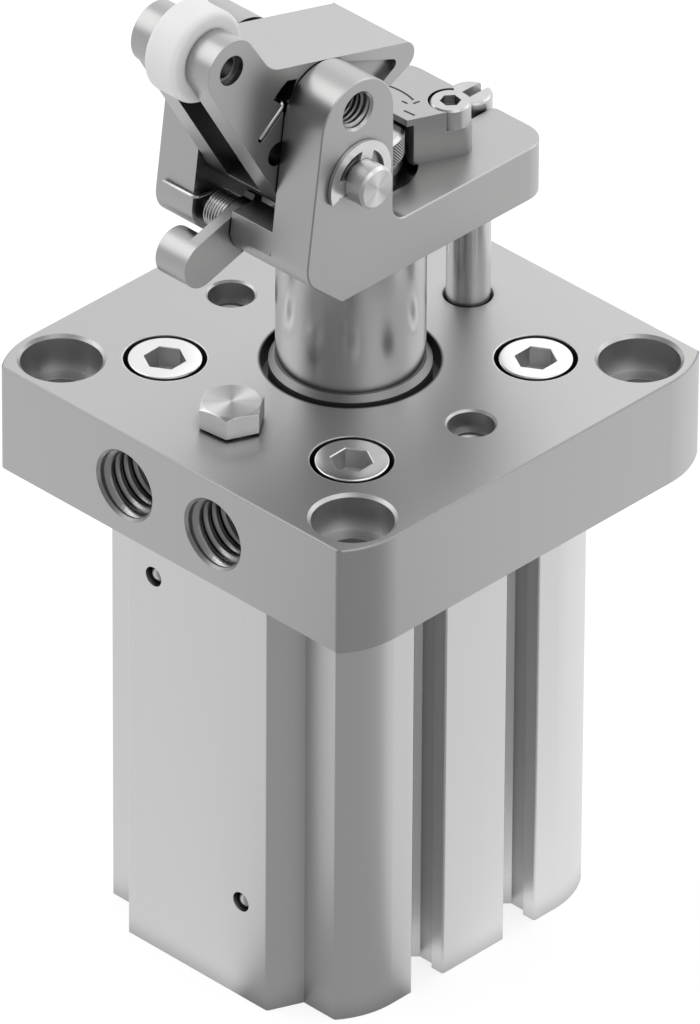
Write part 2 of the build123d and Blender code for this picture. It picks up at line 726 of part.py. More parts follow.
with BuildPart() as clevis_head:
    with BuildSketch(Plane.XZ.offset(-head_half_width)):
        with BuildLine():
            Polyline((toe_x, head_bottom), face_foot, face_top)
            ThreePointArc(
                face_top,
                line_point((pivot_x, ear_top_z), 90, ear_top_radius),
                (ear_far_x, ear_top_z),
            )
            Polyline((ear_far_x, ear_top_z), (ear_far_x, head_bottom), (toe_x, head_bottom))
        make_face()
    extrude(amount=2 * head_half_width)
    fillet(clevis_head.edges().filter_by(Axis.Y).sort_by(Axis.X)[0], toe_radius)
    with BuildSketch(Plane.XY.offset(head_bottom)):
        with BuildLine():
            Polyline(
                (toe_x, -head_half_width),
                (platform_end, -head_half_width),
                (platform_end, head_half_width),
                (toe_x, head_half_width),
                close=True,
            )
        make_face()
    extrude(amount=platform_height)
    ends = clevis_head.edges().filter_by(Axis.Z).group_by(Axis.X)[-1]
    fillet(ends, platform_corner)
    roots = clevis_head.edges().filter_by(Axis.Y).filter_by_position(
        Axis.X, ear_far_x - near, ear_far_x + near
    ).group_by(Axis.Z)[0]
    fillet(roots, ear_root_radius)
    with BuildSketch(Plane.XZ.offset(-ear_gap_half)):
        with BuildLine():
            Polyline(
                (face_foot[0] - overrun, platform_top),
                (platform_end, platform_top),
                (platform_end, ear_top_z + ear_top_radius + overrun),
                (face_foot[0] - overrun, ear_top_z + ear_top_radius + overrun),
                close=True,
            )
        make_face()
    extrude(amount=2 * ear_gap_half, mode=Mode.SUBTRACT)
    wall_top = crossing(face_top, 90 - ear_lean, (0, front_wall_top), 0)
    wall_foot = crossing(face_top, 90 - ear_lean, (0, platform_top - wall_root), 0)
    with BuildSketch(Plane.XZ.offset(-front_wall_edge)):
        with BuildLine():
            Polyline(
                wall_foot,
                wall_top,
                (wall_top[0] + front_wall_thickness, front_wall_top),
                (wall_top[0] + front_wall_thickness, platform_top - wall_root),
                close=True,
            )
        make_face()
    extrude(amount=front_wall_edge + ear_gap_half)
    with BuildSketch(Plane.XY.offset(head_bottom)):
        with BuildLine():
            Polyline(
                (face_foot[0] - overrun, front_wall_edge),
                (finger_gap_back, front_wall_edge),
                (finger_gap_back, ear_gap_half),
                (face_foot[0] - overrun, ear_gap_half),
                close=True,
            )
        make_face()
    extrude(amount=front_wall_top - head_bottom, mode=Mode.SUBTRACT)
    with BuildSketch(Plane.XY.offset(head_bottom)):
        with Locations((0, 0)):
            Circle(neck_hole_diameter / 2)
        with BuildLine():
            Polyline(
                (fork_inner, -fork_half),
                (platform_end + overrun, -fork_half),
                (platform_end + overrun, fork_half),
                (fork_inner, fork_half),
            )
            ThreePointArc((fork_inner, fork_half), (fork_inner - fork_half, 0), (fork_inner, -fork_half))
        make_face()
        with Locations((clamp_x, clamp_y)):
            Circle(clamp_diameter / 2 + thread_gap)
    extrude(amount=platform_height, mode=Mode.SUBTRACT)
    fork_edges = clevis_head.edges().filter_by(Axis.Z).filter_by_position(
        Axis.Y, -fork_half - near, fork_half + near
    ).filter_by_position(Axis.X, platform_end - near, platform_end + near)
    fillet(fork_edges, fork_corner)
    with BuildSketch(Plane.XZ.offset(head_half_width)):
        with Locations((pivot_x, pivot_z)):
            Circle(pivot_radius + press_gap)
    extrude(amount=-2 * head_half_width, mode=Mode.SUBTRACT)
    with BuildSketch(Plane.XZ.offset(head_half_width)):
        with Locations((pivot_x, ear_hole_z)):
            Circle(turn_thread_diameter / 2)
    extrude(amount=-2 * head_half_width, mode=Mode.SUBTRACT)
    with BuildSketch(Plane.XZ.offset(-latch_pin_near + running_gap)):
        with Locations((latch_x, latch_z)):
            Circle(latch_pin_diameter / 2 + press_gap)
    extrude(amount=-(latch_pin_far - latch_pin_near + 2 * running_gap), mode=Mode.SUBTRACT)
    layers = clevis_head.faces().filter_by(Plane.XZ).group_by(Axis.Y)
    cheeks = layers[0] + layers[-1]
    outline = cheeks[0].outer_wire().edges() + cheeks[1].outer_wire().edges()
    corner_x = platform_end - platform_corner
    chamfer([e for e in outline if e.center().X < corner_x - edge_break], head_edge)
    layers = clevis_head.faces().filter_by(Plane.XZ).group_by(Axis.Y)
    rims = (layers[0] + layers[-1]).edges().filter_by(GeomType.CIRCLE)
    chamfer(
        rims.filter_by(lambda e: hypot(e.arc_center.X - pivot_x, e.arc_center.Z - ear_hole_z) < near),
        (ear_hole_mouth - turn_thread_diameter) / 2,
    )
clevis_head.part.label = "clevis_head"

with BuildPart() as pivot_pin:
    with BuildSketch(Plane.XZ.offset(pivot_end)):
        with Locations((pivot_x, pivot_z)):
            Circle(pivot_radius)
    extrude(amount=-2 * pivot_end)
    chamfer(pivot_pin.edges().filter_by(GeomType.CIRCLE), pivot_chamfer)
    for side in (-1, 1):
        neck_start = side * (head_half_width + running_gap)
        with BuildSketch(Plane.XZ.offset(-neck_start)):
            with Locations((pivot_x, pivot_z)):
                Circle(pivot_radius + overrun)
                Circle(clip_neck_diameter / 2, mode=Mode.SUBTRACT)
        extrude(amount=-side * (clip_thickness + clip_play), mode=Mode.SUBTRACT)
pivot_pin.part.label = "pivot_pin"

with BuildPart() as pin_clips:
    clip_centre = (pivot_x, pivot_z)
    ring_inner = clip_radius - clip_band
    for side in (-1, 1):
        clip_start = side * (head_half_width + running_gap)
        with BuildSketch(Plane.XZ.offset(-clip_start)):
            with Locations(clip_centre):
                Circle(clip_radius)
                Circle(ring_inner, mode=Mode.SUBTRACT)
                for prong in clip_prongs:
                    with PolarLocations(ring_inner / 2, 1, prong):
                        Rectangle(ring_inner + clip_band, clip_prong_width)
            with BuildLine():
                Polyline(
                    clip_centre,
                    line_point(clip_centre, clip_mouth_angle - clip_mouth_half, 2 * clip_radius),
                    line_point(clip_centre, clip_mouth_angle, 3 * clip_radius),
                    line_point(clip_centre, clip_mouth_angle + clip_mouth_half, 2 * clip_radius),
                    close=True,
                )
            make_face(mode=Mode.SUBTRACT)
            with Locations(clip_centre):
                Circle(clip_neck_diameter / 2 + seal_gap, mode=Mode.SUBTRACT)
        extrude(amount=-side * clip_thickness)
pin_clips.part.label = "pin_clips"

# Shock absorber in the rod

nose_z = top_start_z - (nose_x - top_start_x) * tan(radians(top_slope))
nose_z = nose_z - nose_radius / cos(radians(top_slope))
underside_point = line_point((nose_x, nose_z), underside_slope - 90, nose_radius)


def underside_height(swing):
    """Height of the lever's underside over the rod axis, for a swing in degrees."""
    slope = radians(underside_slope - swing)
    reach_x = underside_point[0] - pivot_x
    reach_z = underside_point[1] - pivot_z
    start = radians(underside_slope)
    offset = reach_z * cos(start) - reach_x * sin(start)
    return pivot_z + (offset - pivot_x * sin(slope)) / cos(slope)


def button_height(swing):
    """Height of the button's centre when it lies a gap below the lever."""
    slope = radians(underside_slope - swing)
    return underside_height(swing) - (button_radius + button_gap) / cos(slope)


button_z = button_height(0)
plunger_travel = button_z - button_height(lever_swing)

with BuildPart() as absorber_body:
    collar_bottom = ring_bottom - collar_height
    stub_top = ring_top - ring_lip - stub_gap
    well_bottom = plunger_tail - plunger_travel - plunger_spare
    with BuildSketch(Plane.XZ):
        with BuildLine():
            Polyline(
                (0, absorber_bottom),
                (absorber_diameter / 2, absorber_bottom),
                (absorber_diameter / 2, collar_bottom),
                (collar_diameter / 2, collar_bottom),
                (collar_diameter / 2, ring_bottom),
                (stub_diameter / 2, ring_bottom),
                (stub_diameter / 2, stub_top),
                (plunger_diameter / 2 + running_gap, stub_top),
                (plunger_diameter / 2 + running_gap, well_bottom),
                (0, well_bottom),
                close=True,
            )
        make_face()
    revolve(axis=Axis.Z)
absorber_body.part.label = "absorber_body"

with BuildPart() as absorber_plunger:
    with BuildSketch(Plane.XZ):
        with BuildLine():
            Polyline(
                (0, button_z + button_radius),
                (0, plunger_tail),
                (plunger_diameter / 2, plunger_tail),
                (plunger_diameter / 2, button_z - button_skirt),
                (button_radius, button_z - button_skirt),
                (button_radius, button_z),
            )
            ThreePointArc(
                (button_radius, button_z),
                line_point((0, button_z), 45, button_radius),
                (0, button_z + button_radius),
            )
        make_face()
    revolve(axis=Axis.Z)
absorber_plunger.part.label = "absorber_plunger"

with BuildPart() as adjusting_ring:
    with BuildSketch(Plane.XZ):
        with BuildLine():
            Polyline(
                (stub_diameter / 2 + running_gap, ring_bottom),
                (ring_outer_diameter / 2 - ring_foot_break, ring_bottom),
                (ring_outer_diameter / 2, ring_bottom + ring_foot_break),
                (ring_outer_diameter / 2, ring_top - ring_bevel),
                (ring_outer_diameter / 2 - ring_bevel, ring_top),
                (ring_eye_radius, ring_top),
                (ring_eye_radius, ring_top - ring_lip),
                (stub_diameter / 2 + running_gap, ring_top - ring_lip),
                close=True,
            )
        make_face()
    revolve(axis=Axis.Z)
adjusting_ring.part.label = "adjusting_ring"

# Clamp block over the edge of the ring

front_slope = tan(radians(block_front_slope))
front_far_y = block_front_y - (block_far_x - block_side_x) * front_slope
back_near_y = block_back_y + (block_far_x - block_side_x) * front_slope
lip_start_y = block_front_y + (block_side_x - block_lip_x) * front_slope
lip_end_y = back_near_y + (block_side_x - block_lip_x) * front_slope

with BuildPart() as clamp_block:
    with BuildSketch(Plane.XY.offset(platform_top)):
        with BuildLine():
            Polyline(
                (block_side_x, block_front_y),
                (block_far_x, front_far_y),
                (block_far_x, block_back_y),
                (block_side_x, back_near_y),
                close=True,
            )
        make_face()
        Circle(ring_outer_diameter / 2 + ring_clearance, mode=Mode.SUBTRACT)
    extrude(amount=block_top - platform_top)
    with BuildSketch(Plane.XY.offset(block_top - block_lip_thickness)):
        with BuildLine():
            Polyline(
                (block_lip_x, lip_start_y),
                (block_far_x, front_far_y),
                (block_far_x, block_back_y),
                (block_lip_x, lip_end_y),
                close=True,
            )
        make_face()
    extrude(amount=block_lip_thickness)
    fillet(
        clamp_block.edges().filter_by(Axis.Z).filter_by_position(
            Axis.X, block_far_x - near, block_far_x + near
        ).sort_by(Axis.Y)[0],
        block_corner,
    )
    with BuildSketch(Plane.XY.offset(block_top)):
        with Locations((clamp_x, clamp_y)):
            Circle(clamp_seat_diameter / 2)
    extrude(amount=-clamp_head_height, mode=Mode.SUBTRACT)
    with BuildSketch(Plane.XY.offset(platform_top)):
        with Locations((clamp_x, clamp_y)):
            Circle(clamp_diameter / 2 + clamp_play)
    extrude(amount=block_top - platform_top, mode=Mode.SUBTRACT)
clamp_block.part.label = "clamp_block"

with BuildPart() as clamp_screw:
    clamp_seat = block_top - clamp_head_height
    with BuildSketch(Plane.XY.offset(clamp_seat)):
        with Locations((clamp_x, clamp_y)):
            Circle(clamp_head_diameter / 2)
    extrude(amount=clamp_head_height)
    chamfer(clamp_screw.edges().group_by(Axis.Z)[-1], clamp_head_edge)
    with BuildSketch(Plane.XY.offset(block_top)):
        with Locations((clamp_x, clamp_y)):
            RegularPolygon(hex_width(clamp_hex), 6, rotation=clamp_turn)
    extrude(amount=-clamp_hex_depth, mode=Mode.SUBTRACT)
    with BuildSketch(Plane.XY.offset(clamp_seat)):
        with Locations((clamp_x, clamp_y)):
            Circle(clamp_diameter / 2)
    extrude(amount=-clamp_length)
clamp_screw.part.label = "clamp_screw"

# Lever: boss arms, roller pocket, top plate, nose and hub

boss = (boss_x, boss_z)
hub = (pivot_x, pivot_z)


def tangent_point(centre, radius, target, side):
    """Where a line from target touches a circle, on the given side of it."""
    distance = hypot(target[0] - centre[0], target[1] - centre[1])
    direction = degrees(atan2(target[1] - centre[1], target[0] - centre[0]))
    return line_point(centre, direction + side * degrees(acos(radius / distance)), radius)


leg_start = tangent_point(hub, lever_coil_radius, leg_riser, 1)
centre_distance = hypot(hub[0] - boss[0], hub[1] - boss[1])
centre_angle = degrees(atan2(hub[1] - boss[1], hub[0] - boss[0]))
spread = degrees(asin((hub_radius - boss_radius) / centre_distance))
lower_normal = centre_angle - 90 - spread
boss_lower = line_point(boss, lower_normal, boss_radius)
hub_lower = line_point(hub, lower_normal, hub_radius)
boss_upper = line_point(boss, 90 - arm_angle, boss_radius)
top_start = (top_start_x, top_start_z)
arm_meets_top = crossing(boss_upper, -arm_angle, top_start, -top_slope)
nose_upper = line_point((nose_x, nose_z), 90 - top_slope, nose_radius)
nose_front = line_point((nose_x, nose_z), 0, nose_radius)
hub_underside = crossing(underside_point, underside_slope, hub, underside_slope + 90)
hub_rise = hypot(hub_underside[0] - hub[0], hub_underside[1] - hub[1])
hub_back = line_point(hub_underside, underside_slope, sqrt(hub_back_radius ** 2 - hub_rise ** 2))
pocket_radius = roller_radius + roller_clearance
pocket_half = lever_half_width - arm_thickness

with BuildPart() as lever:
    with BuildSketch(Plane.XZ.offset(-lever_half_width)) as lever_profile:
        with BuildLine():
            Line(boss_lower, hub_lower)
            Polyline(hub_lower, hub, hub_back, underside_point)
            ThreePointArc(underside_point, nose_front, nose_upper)
            Polyline(nose_upper, arm_meets_top, boss_upper)
            ThreePointArc(boss_upper, line_point(boss, lower_normal - 120, boss_radius), boss_lower)
        make_face()
        root = lever_profile.vertices().sort_by_distance(Vertex(*arm_meets_top, 0))[0]
        fillet(root, arm_root_radius)
        with Locations(hub):
            Circle(hub_back_radius)
        with BuildLine():
            Line(hub, line_point(hub, hub_catch_start, hub_radius))
            ThreePointArc(
                line_point(hub, hub_catch_start, hub_radius),
                line_point(hub, (hub_catch_start + hub_catch_end) / 2, hub_radius),
                line_point(hub, hub_catch_end, hub_radius),
            )
            Line(line_point(hub, hub_catch_end, hub_radius), hub)
        make_face()
    extrude(amount=2 * lever_half_width)
    # roller pocket between the arms
    with BuildSketch(Plane.XZ.offset(-pocket_half)):
        with Locations(boss):
            Circle(pocket_radius)
        with BuildLine():
            Polyline(
                line_point(boss, 180, 2 * pocket_radius),
                line_point(hub, lower_normal, hub_radius + pocket_radius / 2),
                line_point(hub, lower_normal, hub_back_radius - pocket_wall),
                line_point(top_start, -top_slope - 90, web_thickness),
                line_point(boss, 90 - arm_angle, pocket_radius),
                line_point(boss, 120, 2 * pocket_radius),
                close=True,
            )
        make_face()
    extrude(amount=2 * pocket_half, mode=Mode.SUBTRACT)
    # far side of the plate, a step inside its two bosses
    with BuildSketch(Plane.XZ.offset(-lever_half_width)):
        with Locations((boss_x, hub[1])):
            Rectangle(8 * boss_radius + 4 * hub_radius, 8 * hub_radius)
        with Locations(boss):
            Circle(boss_radius, mode=Mode.SUBTRACT)
        with Locations(hub):
            Circle(hub_radius, mode=Mode.SUBTRACT)
    extrude(amount=far_cheek_step, mode=Mode.SUBTRACT)
    # shallow pocket in the near face
    with BuildSketch(Plane.XZ.offset(lever_half_width)) as near_pocket:
        with BuildLine():
            Polyline(*pocket_corners, close=True)
        make_face()
        fillet(near_pocket.vertices(), pocket_corner)
    extrude(amount=-pocket_depth, mode=Mode.SUBTRACT)
    # spring seat round the pivot, with a slot and a window for the spring's leg
    with BuildSketch(Plane.XZ.offset(lever_half_width)):
        with Locations(hub):
            Circle(spring_seat_radius)
        with BuildLine():
            Line(leg_start, leg_riser)
        trace(line_width=leg_slot_width)
        with Locations(leg_riser):
            Circle(leg_slot_width / 2)
    extrude(amount=-spring_seat_depth, mode=Mode.SUBTRACT)
    with BuildSketch(Plane.XZ.offset(lever_half_width)):
        with BuildLine():
            Polyline(*leg_window, close=True)
        make_face()
    extrude(amount=-leg_window_depth, mode=Mode.SUBTRACT)
    with BuildSketch(Plane.XZ.offset(lever_half_width)):
        with BuildLine():
            Line(leg_riser, leg_tip)
        trace(line_width=leg_slot_width)
        with Locations(leg_tip):
            Circle(leg_slot_width / 2)
    extrude(amount=-lever_coil_wire - 2 * leg_sink, mode=Mode.SUBTRACT)
    with BuildSketch(Plane.XZ.offset(lever_half_width)):
        with Locations(relief_hole):
            Circle(relief_radius)
    extrude(amount=-relief_depth, mode=Mode.SUBTRACT)
    with BuildSketch(Plane.XZ.offset(-lever_half_width)):
        with Locations(boss):
            Circle(axle_diameter / 2 + press_gap)
        with Locations(hub):
            Circle(pivot_radius + running_gap)
    extrude(amount=2 * lever_half_width, mode=Mode.SUBTRACT)
lever.part.label = "lever"


def coil_sleeve(centre, radius, wire, pitch, turns, start, valley):
    """A close wound coil about an axis along Y, as a sleeve with a furrow between turns."""
    inner = centre[0] + radius - wire / 2
    outer = centre[0] + radius + wire / 2
    ridges = []
    for turn in range(turns):
        ridges.append((outer - valley, start + turn * pitch))
        ridges.append((outer, start + (turn + 0.5) * pitch))
    end = start + turns * pitch
    with BuildPart() as sleeve:
        with BuildSketch(Plane.XY.offset(centre[1])):
            with BuildLine():
                Polyline((inner, start), *ridges, (outer - valley, end), (inner, end), close=True)
            make_face()
        revolve(axis=Axis((centre[0], 0, centre[1]), (0, 1, 0)))
    return sleeve.part


with BuildPart() as lever_spring:
    coil_end = -lever_half_width + spring_seat_depth - leg_sink
    coil_y = coil_end - lever_coil_turns * lever_coil_wire
    deep_y = coil_end - lever_coil_wire / 2
    leg_y = -lever_half_width + leg_sink + lever_coil_wire / 2
    add(coil_sleeve(hub, lever_coil_radius, lever_coil_wire, lever_coil_wire, lever_coil_turns, coil_y,
                    lever_coil_valley))
    with BuildLine() as leg_line:
        FilletPolyline(
            (leg_start[0], deep_y, leg_start[1]),
            (leg_riser[0], deep_y, leg_riser[1]),
            (leg_riser[0], leg_y, leg_riser[1]),
            (leg_tip[0], leg_y, leg_tip[1]),
            radius=leg_bend,
        )
    with BuildSketch(Plane(origin=leg_line.line @ 0, z_dir=leg_line.line % 0)):
        Circle(lever_coil_wire / 2)
    sweep(path=leg_line.line)
lever_spring.part.label = "lever_spring"

with BuildPart() as roller_axle:
    with BuildSketch(Plane.XZ.offset(axle_half_length)):
        with Locations(boss):
            Circle(axle_diameter / 2)
            Circle(axle_diameter / 2 - axle_wall, mode=Mode.SUBTRACT)
    extrude(amount=-2 * axle_half_length)
roller_axle.part.label = "roller_axle"

with BuildPart() as roller:
    with BuildSketch(Plane.XZ.offset(roller_half_width)):
        with Locations(boss):
            Circle(roller_radius)
    extrude(amount=-2 * roller_half_width)
    fillet(roller.edges().filter_by(GeomType.CIRCLE), roller_edge)
    with BuildSketch(Plane.XZ.offset(roller_half_width)):
        with Locations(boss):
            Circle(axle_diameter / 2 + running_gap)
    extrude(amount=-2 * roller_half_width, mode=Mode.SUBTRACT)
roller.part.label = "roller"

# Latch finger, its pin and its torsion spring

finger_tilt = degrees(atan2(latch_z - finger_end_z, latch_x - finger_end_x))
latch_centre = (latch_x, latch_z)
finger_end = (finger_end_x, finger_end_z)
hub_distance = hypot(pivot_x - latch_x, pivot_z - latch_z)
pawl_length = hub_distance - hub_radius - pawl_gap

with BuildPart() as latch_finger:
    with BuildSketch(Plane.XZ.offset(-finger_far)):
        with BuildLine():
            Polyline(
                line_point(finger_end, finger_tilt - 90, finger_radius),
                line_point(latch_centre, finger_tilt - 90, finger_radius),
                line_point(latch_centre, finger_tilt + 90, finger_radius),
                line_point(finger_end, finger_tilt + 90, finger_radius),
                close=True,
            )
        make_face()
        with Locations(finger_end, latch_centre):
            Circle(finger_radius)
        with BuildLine():
            tip = line_point(latch_centre, pawl_angle, pawl_length)
            Polyline(
                line_point(latch_centre, pawl_angle - 90, pawl_root_width / 2),
                line_point(tip, pawl_angle - 90, pawl_tip_width / 2),
                line_point(tip, pawl_angle + 90, pawl_tip_width / 2),
                line_point(latch_centre, pawl_angle + 90, pawl_root_width / 2),
                close=True,
            )
        make_face()
        with Locations(latch_centre):
            Circle(latch_pin_diameter / 2 + running_gap, mode=Mode.SUBTRACT)
    extrude(amount=finger_thickness)
    with BuildSketch(Plane.XZ.offset(-(finger_near + finger_end_width))):
        with Locations(finger_end):
            Circle(finger_radius)
    extrude(amount=finger_end_width)
latch_finger.part.label = "latch_finger"

with BuildPart() as latch_pin:
    with BuildSketch(Plane.XZ.offset(-latch_pin_near)):
        with Locations(latch_centre):
            Circle(latch_pin_diameter / 2)
    extrude(amount=-(latch_pin_far - latch_pin_near))
latch_pin.part.label = "latch_pin"

with BuildPart() as latch_spring:
    add(coil_sleeve(latch_centre, coil_radius, coil_wire, coil_pitch, coil_turns, coil_start, coil_valley))
    leg_face = crossing(face_top, 90 - ear_lean, (0, coil_leg_z), 0)
    leg_corner = (leg_face[0] - coil_wire / 2 - coil_leg_gap, coil_leg_z)
    leg_touch = tangent_point(latch_centre, coil_radius, leg_corner, -1)
    turn_middle = coil_start + (coil_turns - 0.5) * coil_pitch
    with BuildLine() as leg_line:
        FilletPolyline(
            (leg_touch[0], turn_middle, leg_touch[1]),
            (leg_corner[0], turn_middle, leg_corner[1]),
            (leg_corner[0], coil_leg_end, leg_corner[1]),
            radius=coil_leg_bend,
        )
    with BuildSketch(Plane(origin=leg_line.line @ 0, z_dir=leg_line.line % 0)):
        Circle(coil_wire / 2)
    sweep(path=leg_line.line)
latch_spring.part.label = "latch_spring"

os.makedirs("parts", exist_ok=True)
pieces = (
    flange_cap, barrel, end_cap, retaining_ring, flange_seal, end_cap_seal, rod_bush, rod_wiper,
    flange_screws, stop_bolt, guide_pin, channel_balls, upper_bumper, lower_bumper, piston,
    piston_seals, guide_band, magnet_ring, piston_rod, clevis_head, pivot_pin, pin_clips,
    absorber_body, absorber_plunger, adjusting_ring, clamp_block, clamp_screw, lever,
    lever_spring, roller_axle, roller, latch_finger, latch_pin, latch_spring,
)
for piece in pieces:
    export_step(piece.part, f"parts/{piece.part.label}.step")
print("plunger travel", round(plunger_travel, 3), "mm over", lever_swing, "degrees")
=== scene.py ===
from math import asin, atan2, cos, hypot, pi, radians, sin, tan

import bpy
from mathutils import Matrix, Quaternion, Vector


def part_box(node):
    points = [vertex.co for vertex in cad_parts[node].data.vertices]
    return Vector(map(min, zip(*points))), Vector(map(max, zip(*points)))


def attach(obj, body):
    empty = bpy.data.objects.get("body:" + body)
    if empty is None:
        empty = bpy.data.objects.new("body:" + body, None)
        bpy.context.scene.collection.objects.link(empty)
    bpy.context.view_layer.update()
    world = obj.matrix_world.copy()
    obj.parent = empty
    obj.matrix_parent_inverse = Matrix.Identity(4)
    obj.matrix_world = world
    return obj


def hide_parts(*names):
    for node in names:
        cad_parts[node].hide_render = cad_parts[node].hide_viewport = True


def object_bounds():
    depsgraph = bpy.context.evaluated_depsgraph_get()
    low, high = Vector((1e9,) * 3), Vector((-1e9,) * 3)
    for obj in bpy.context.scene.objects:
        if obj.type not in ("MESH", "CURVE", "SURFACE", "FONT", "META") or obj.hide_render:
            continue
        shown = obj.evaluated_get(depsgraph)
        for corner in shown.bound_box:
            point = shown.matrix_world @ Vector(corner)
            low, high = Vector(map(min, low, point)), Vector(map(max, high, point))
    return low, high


# Looks of the pneumatic stopper cylinder. Metres, in the part's own frame:
# +Z up along the rod, +X towards the guide pin, +Y along the lever's pivot.

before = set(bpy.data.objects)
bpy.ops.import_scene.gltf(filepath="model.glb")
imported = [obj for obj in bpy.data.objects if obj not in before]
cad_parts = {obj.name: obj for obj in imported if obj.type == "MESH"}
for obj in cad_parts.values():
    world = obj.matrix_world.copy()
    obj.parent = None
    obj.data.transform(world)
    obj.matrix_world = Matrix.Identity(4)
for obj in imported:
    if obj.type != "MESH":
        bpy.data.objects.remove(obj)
cad_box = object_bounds()
MM = 0.001
X_AXIS = (1.0, 0.0, 0.0)
Y_AXIS = (0.0, 1.0, 0.0)
Z_AXIS = (0.0, 0.0, 1.0)
LEVEL = (1.0, 1.0, 0.0)         # keeps what lies across the rod

# Camera, as the photograph was taken: angles in degrees, lens and sensor in millimetres
VIEW_AZIMUTH = -45.628
VIEW_ELEVATION = 33.502
VIEW_ROLL = 0.3543
VIEW_DISTANCE = 2.2594
VIEW_TARGET = (0.00008, 0.0, -0.00843)
LENS = 597.65
SENSOR = 36.0
CLIP_START = 0.1
CLIP_END = 50.0

# Studio
FLOOR_SIZE = 30.0
FLOOR_GLOW = 0.78       # part of the floor's white that holds no shadow
FLOOR_SHARE = 0.34      # part that takes light and shadow
FLOOR_COLOUR = 0.80     # floor as it lights the object from below
FLOOR_MIRRORED = 0.86   # floor's glow in reflections
WORLD_LIGHT = 0.62      # world as a lamp

# The studio's darker side, in reflections: from and to in degrees round the rod from
# the camera, positive to its right, with the softness of both edges and the brightness
FLOOR_DARK = (-72.0, 75.0, 7.0, 0.43)
FLOOR_BRIGHT = (94.0, 108.0, 1.22)      # from and to in degrees, and the gain beyond
WORLD_DARK = (-78.0, 18.0, 14.0, 0.36)
DARK_CENTRE = (-18 * MM, -13 * MM, 0.0)


class Shader:
    """A material or world made of nodes."""

    def __init__(self, owner, output="ShaderNodeOutputMaterial"):
        owner.use_nodes = True
        self.owner = owner
        self.tree = owner.node_tree
        self.tree.nodes.clear()
        self.output = self.tree.nodes.new(output)

    def node(self, kind, inputs=(), **settings):
        """A new node with its settings, and values or links for its inputs."""
        made = self.tree.nodes.new(kind)
        for key, value in settings.items():
            setattr(made, key, value)
        for key, value in dict(inputs).items():
            self.feed(made.inputs[key], value)
        return made

    def feed(self, socket, value):
        """Links a socket to an input, or writes a plain value to it."""
        if isinstance(value, bpy.types.NodeSocket):
            self.tree.links.new(value, socket)
        else:
            socket.default_value = value

    def math(self, operation, first, second=0.0):
        """The number that an operation gives."""
        return self.node("ShaderNodeMath", {0: first, 1: second}, operation=operation).outputs[0]

    def times(self, first, second):
        """The product of two numbers."""
        return self.math("MULTIPLY", first, second)

    def vector_node(self, operation, first, second=(0, 0, 0)):
        """The node of a vector operation."""
        return self.node("ShaderNodeVectorMath", {0: first, 1: second}, operation=operation)

    def vector(self, operation, first, second=(0, 0, 0)):
        """The vector that a vector operation gives."""
        return self.vector_node(operation, first, second).outputs["Vector"]

    def length(self, vector):
        """The length of a vector."""
        return self.vector_node("LENGTH", vector).outputs["Value"]

    def dot(self, first, second):
        """The dot product of two vectors."""
        return self.vector_node("DOT_PRODUCT", first, second).outputs["Value"]

    def scaled(self, vector, factor):
        """A vector or colour multiplied by a number."""
        inputs = {0: vector, "Scale": factor}
        return self.node("ShaderNodeVectorMath", inputs, operation="SCALE").outputs["Vector"]

    def span(self, value, low, high, to_low, to_high, kind="LINEAR"):
        """value mapped from one range to another and held inside it."""
        inputs = {"Value": value, "From Min": low, "From Max": high, "To Min": to_low, "To Max": to_high}
        return self.node("ShaderNodeMapRange", inputs, interpolation_type=kind).outputs["Result"]

    def smooth(self, *values):
        """value mapped like span, but eased in and out."""
        return self.span(*values, kind="SMOOTHSTEP")

    def blend(self, factor, first, second):
        """One surface or background faded into another."""
        return self.node("ShaderNodeMixShader", {0: factor, 1: first, 2: second}).outputs[0]

    def place(self, stretch=(1, 1, 1)):
        """The point of the object, in metres, stretched along its axes."""
        point = self.node("ShaderNodeTexCoord").outputs["Object"]
        return self.vector("MULTIPLY", point, stretch)

    def normal(self):
        """The surface's own direction."""
        return self.node("ShaderNodeNewGeometry").outputs["Normal"]

    def noise(self, size, detail=2.0, roughness=0.5, stretch=(1, 1, 1), seed=0.0):
        """Noise from 0 to 1 whose features are about size metres across."""
        inputs = {"Vector": self.place(stretch), "W": seed, "Scale": 1 / size, "Detail": detail,
                  "Roughness": roughness}
        return self.node("ShaderNodeTexNoise", inputs, noise_dimensions="4D").outputs["Fac"]

    def finish(self, surface):
        """Shows a surface or background, and gives back its owner."""
        self.tree.links.new(surface, self.output.inputs["Surface"])
        return self.owner


def grey(level):
    """A grey as three numbers."""
    return (level, level, level)


def opaque(level):
    """A grey as four numbers."""
    return (level, level, level, 1.0)


# How the finishes are made

BEVEL_SAMPLES = 4
RECESS_SAMPLES = 6
EDGE_FADE = 0.93            # cosine of the bend from which a rounded edge shows in full
NOISE_RANGE = (0.3, 0.7)    # where fine noise mostly lies
PATCH_RANGE = (0.25, 0.75)
PATCH_DETAIL = 3.0
OPEN_RANGE = (0.1, 0.8)     # how much of the room a closed recess and an open face see
GRAIN_SEED = 3.0
LINE_SEED = 7.0
LINE_DETAIL = 4.0
LINE_ROUGHNESS = 0.6
ACROSS = 0.25               # a quarter turn, so that the gloss spreads across the marks


def rounded_edge_highlight(shader, radius):
    """The normal with its edges rounded, and a mask that is 1 on them, for a painted highlight along the
    edges.
    """
    round_normal = shader.node("ShaderNodeBevel", {"Radius": radius}, samples=BEVEL_SAMPLES).outputs[0]
    along = shader.dot(round_normal, shader.normal())
    return round_normal, shader.span(along, EDGE_FADE, 1.0, 1.0, 0.0)


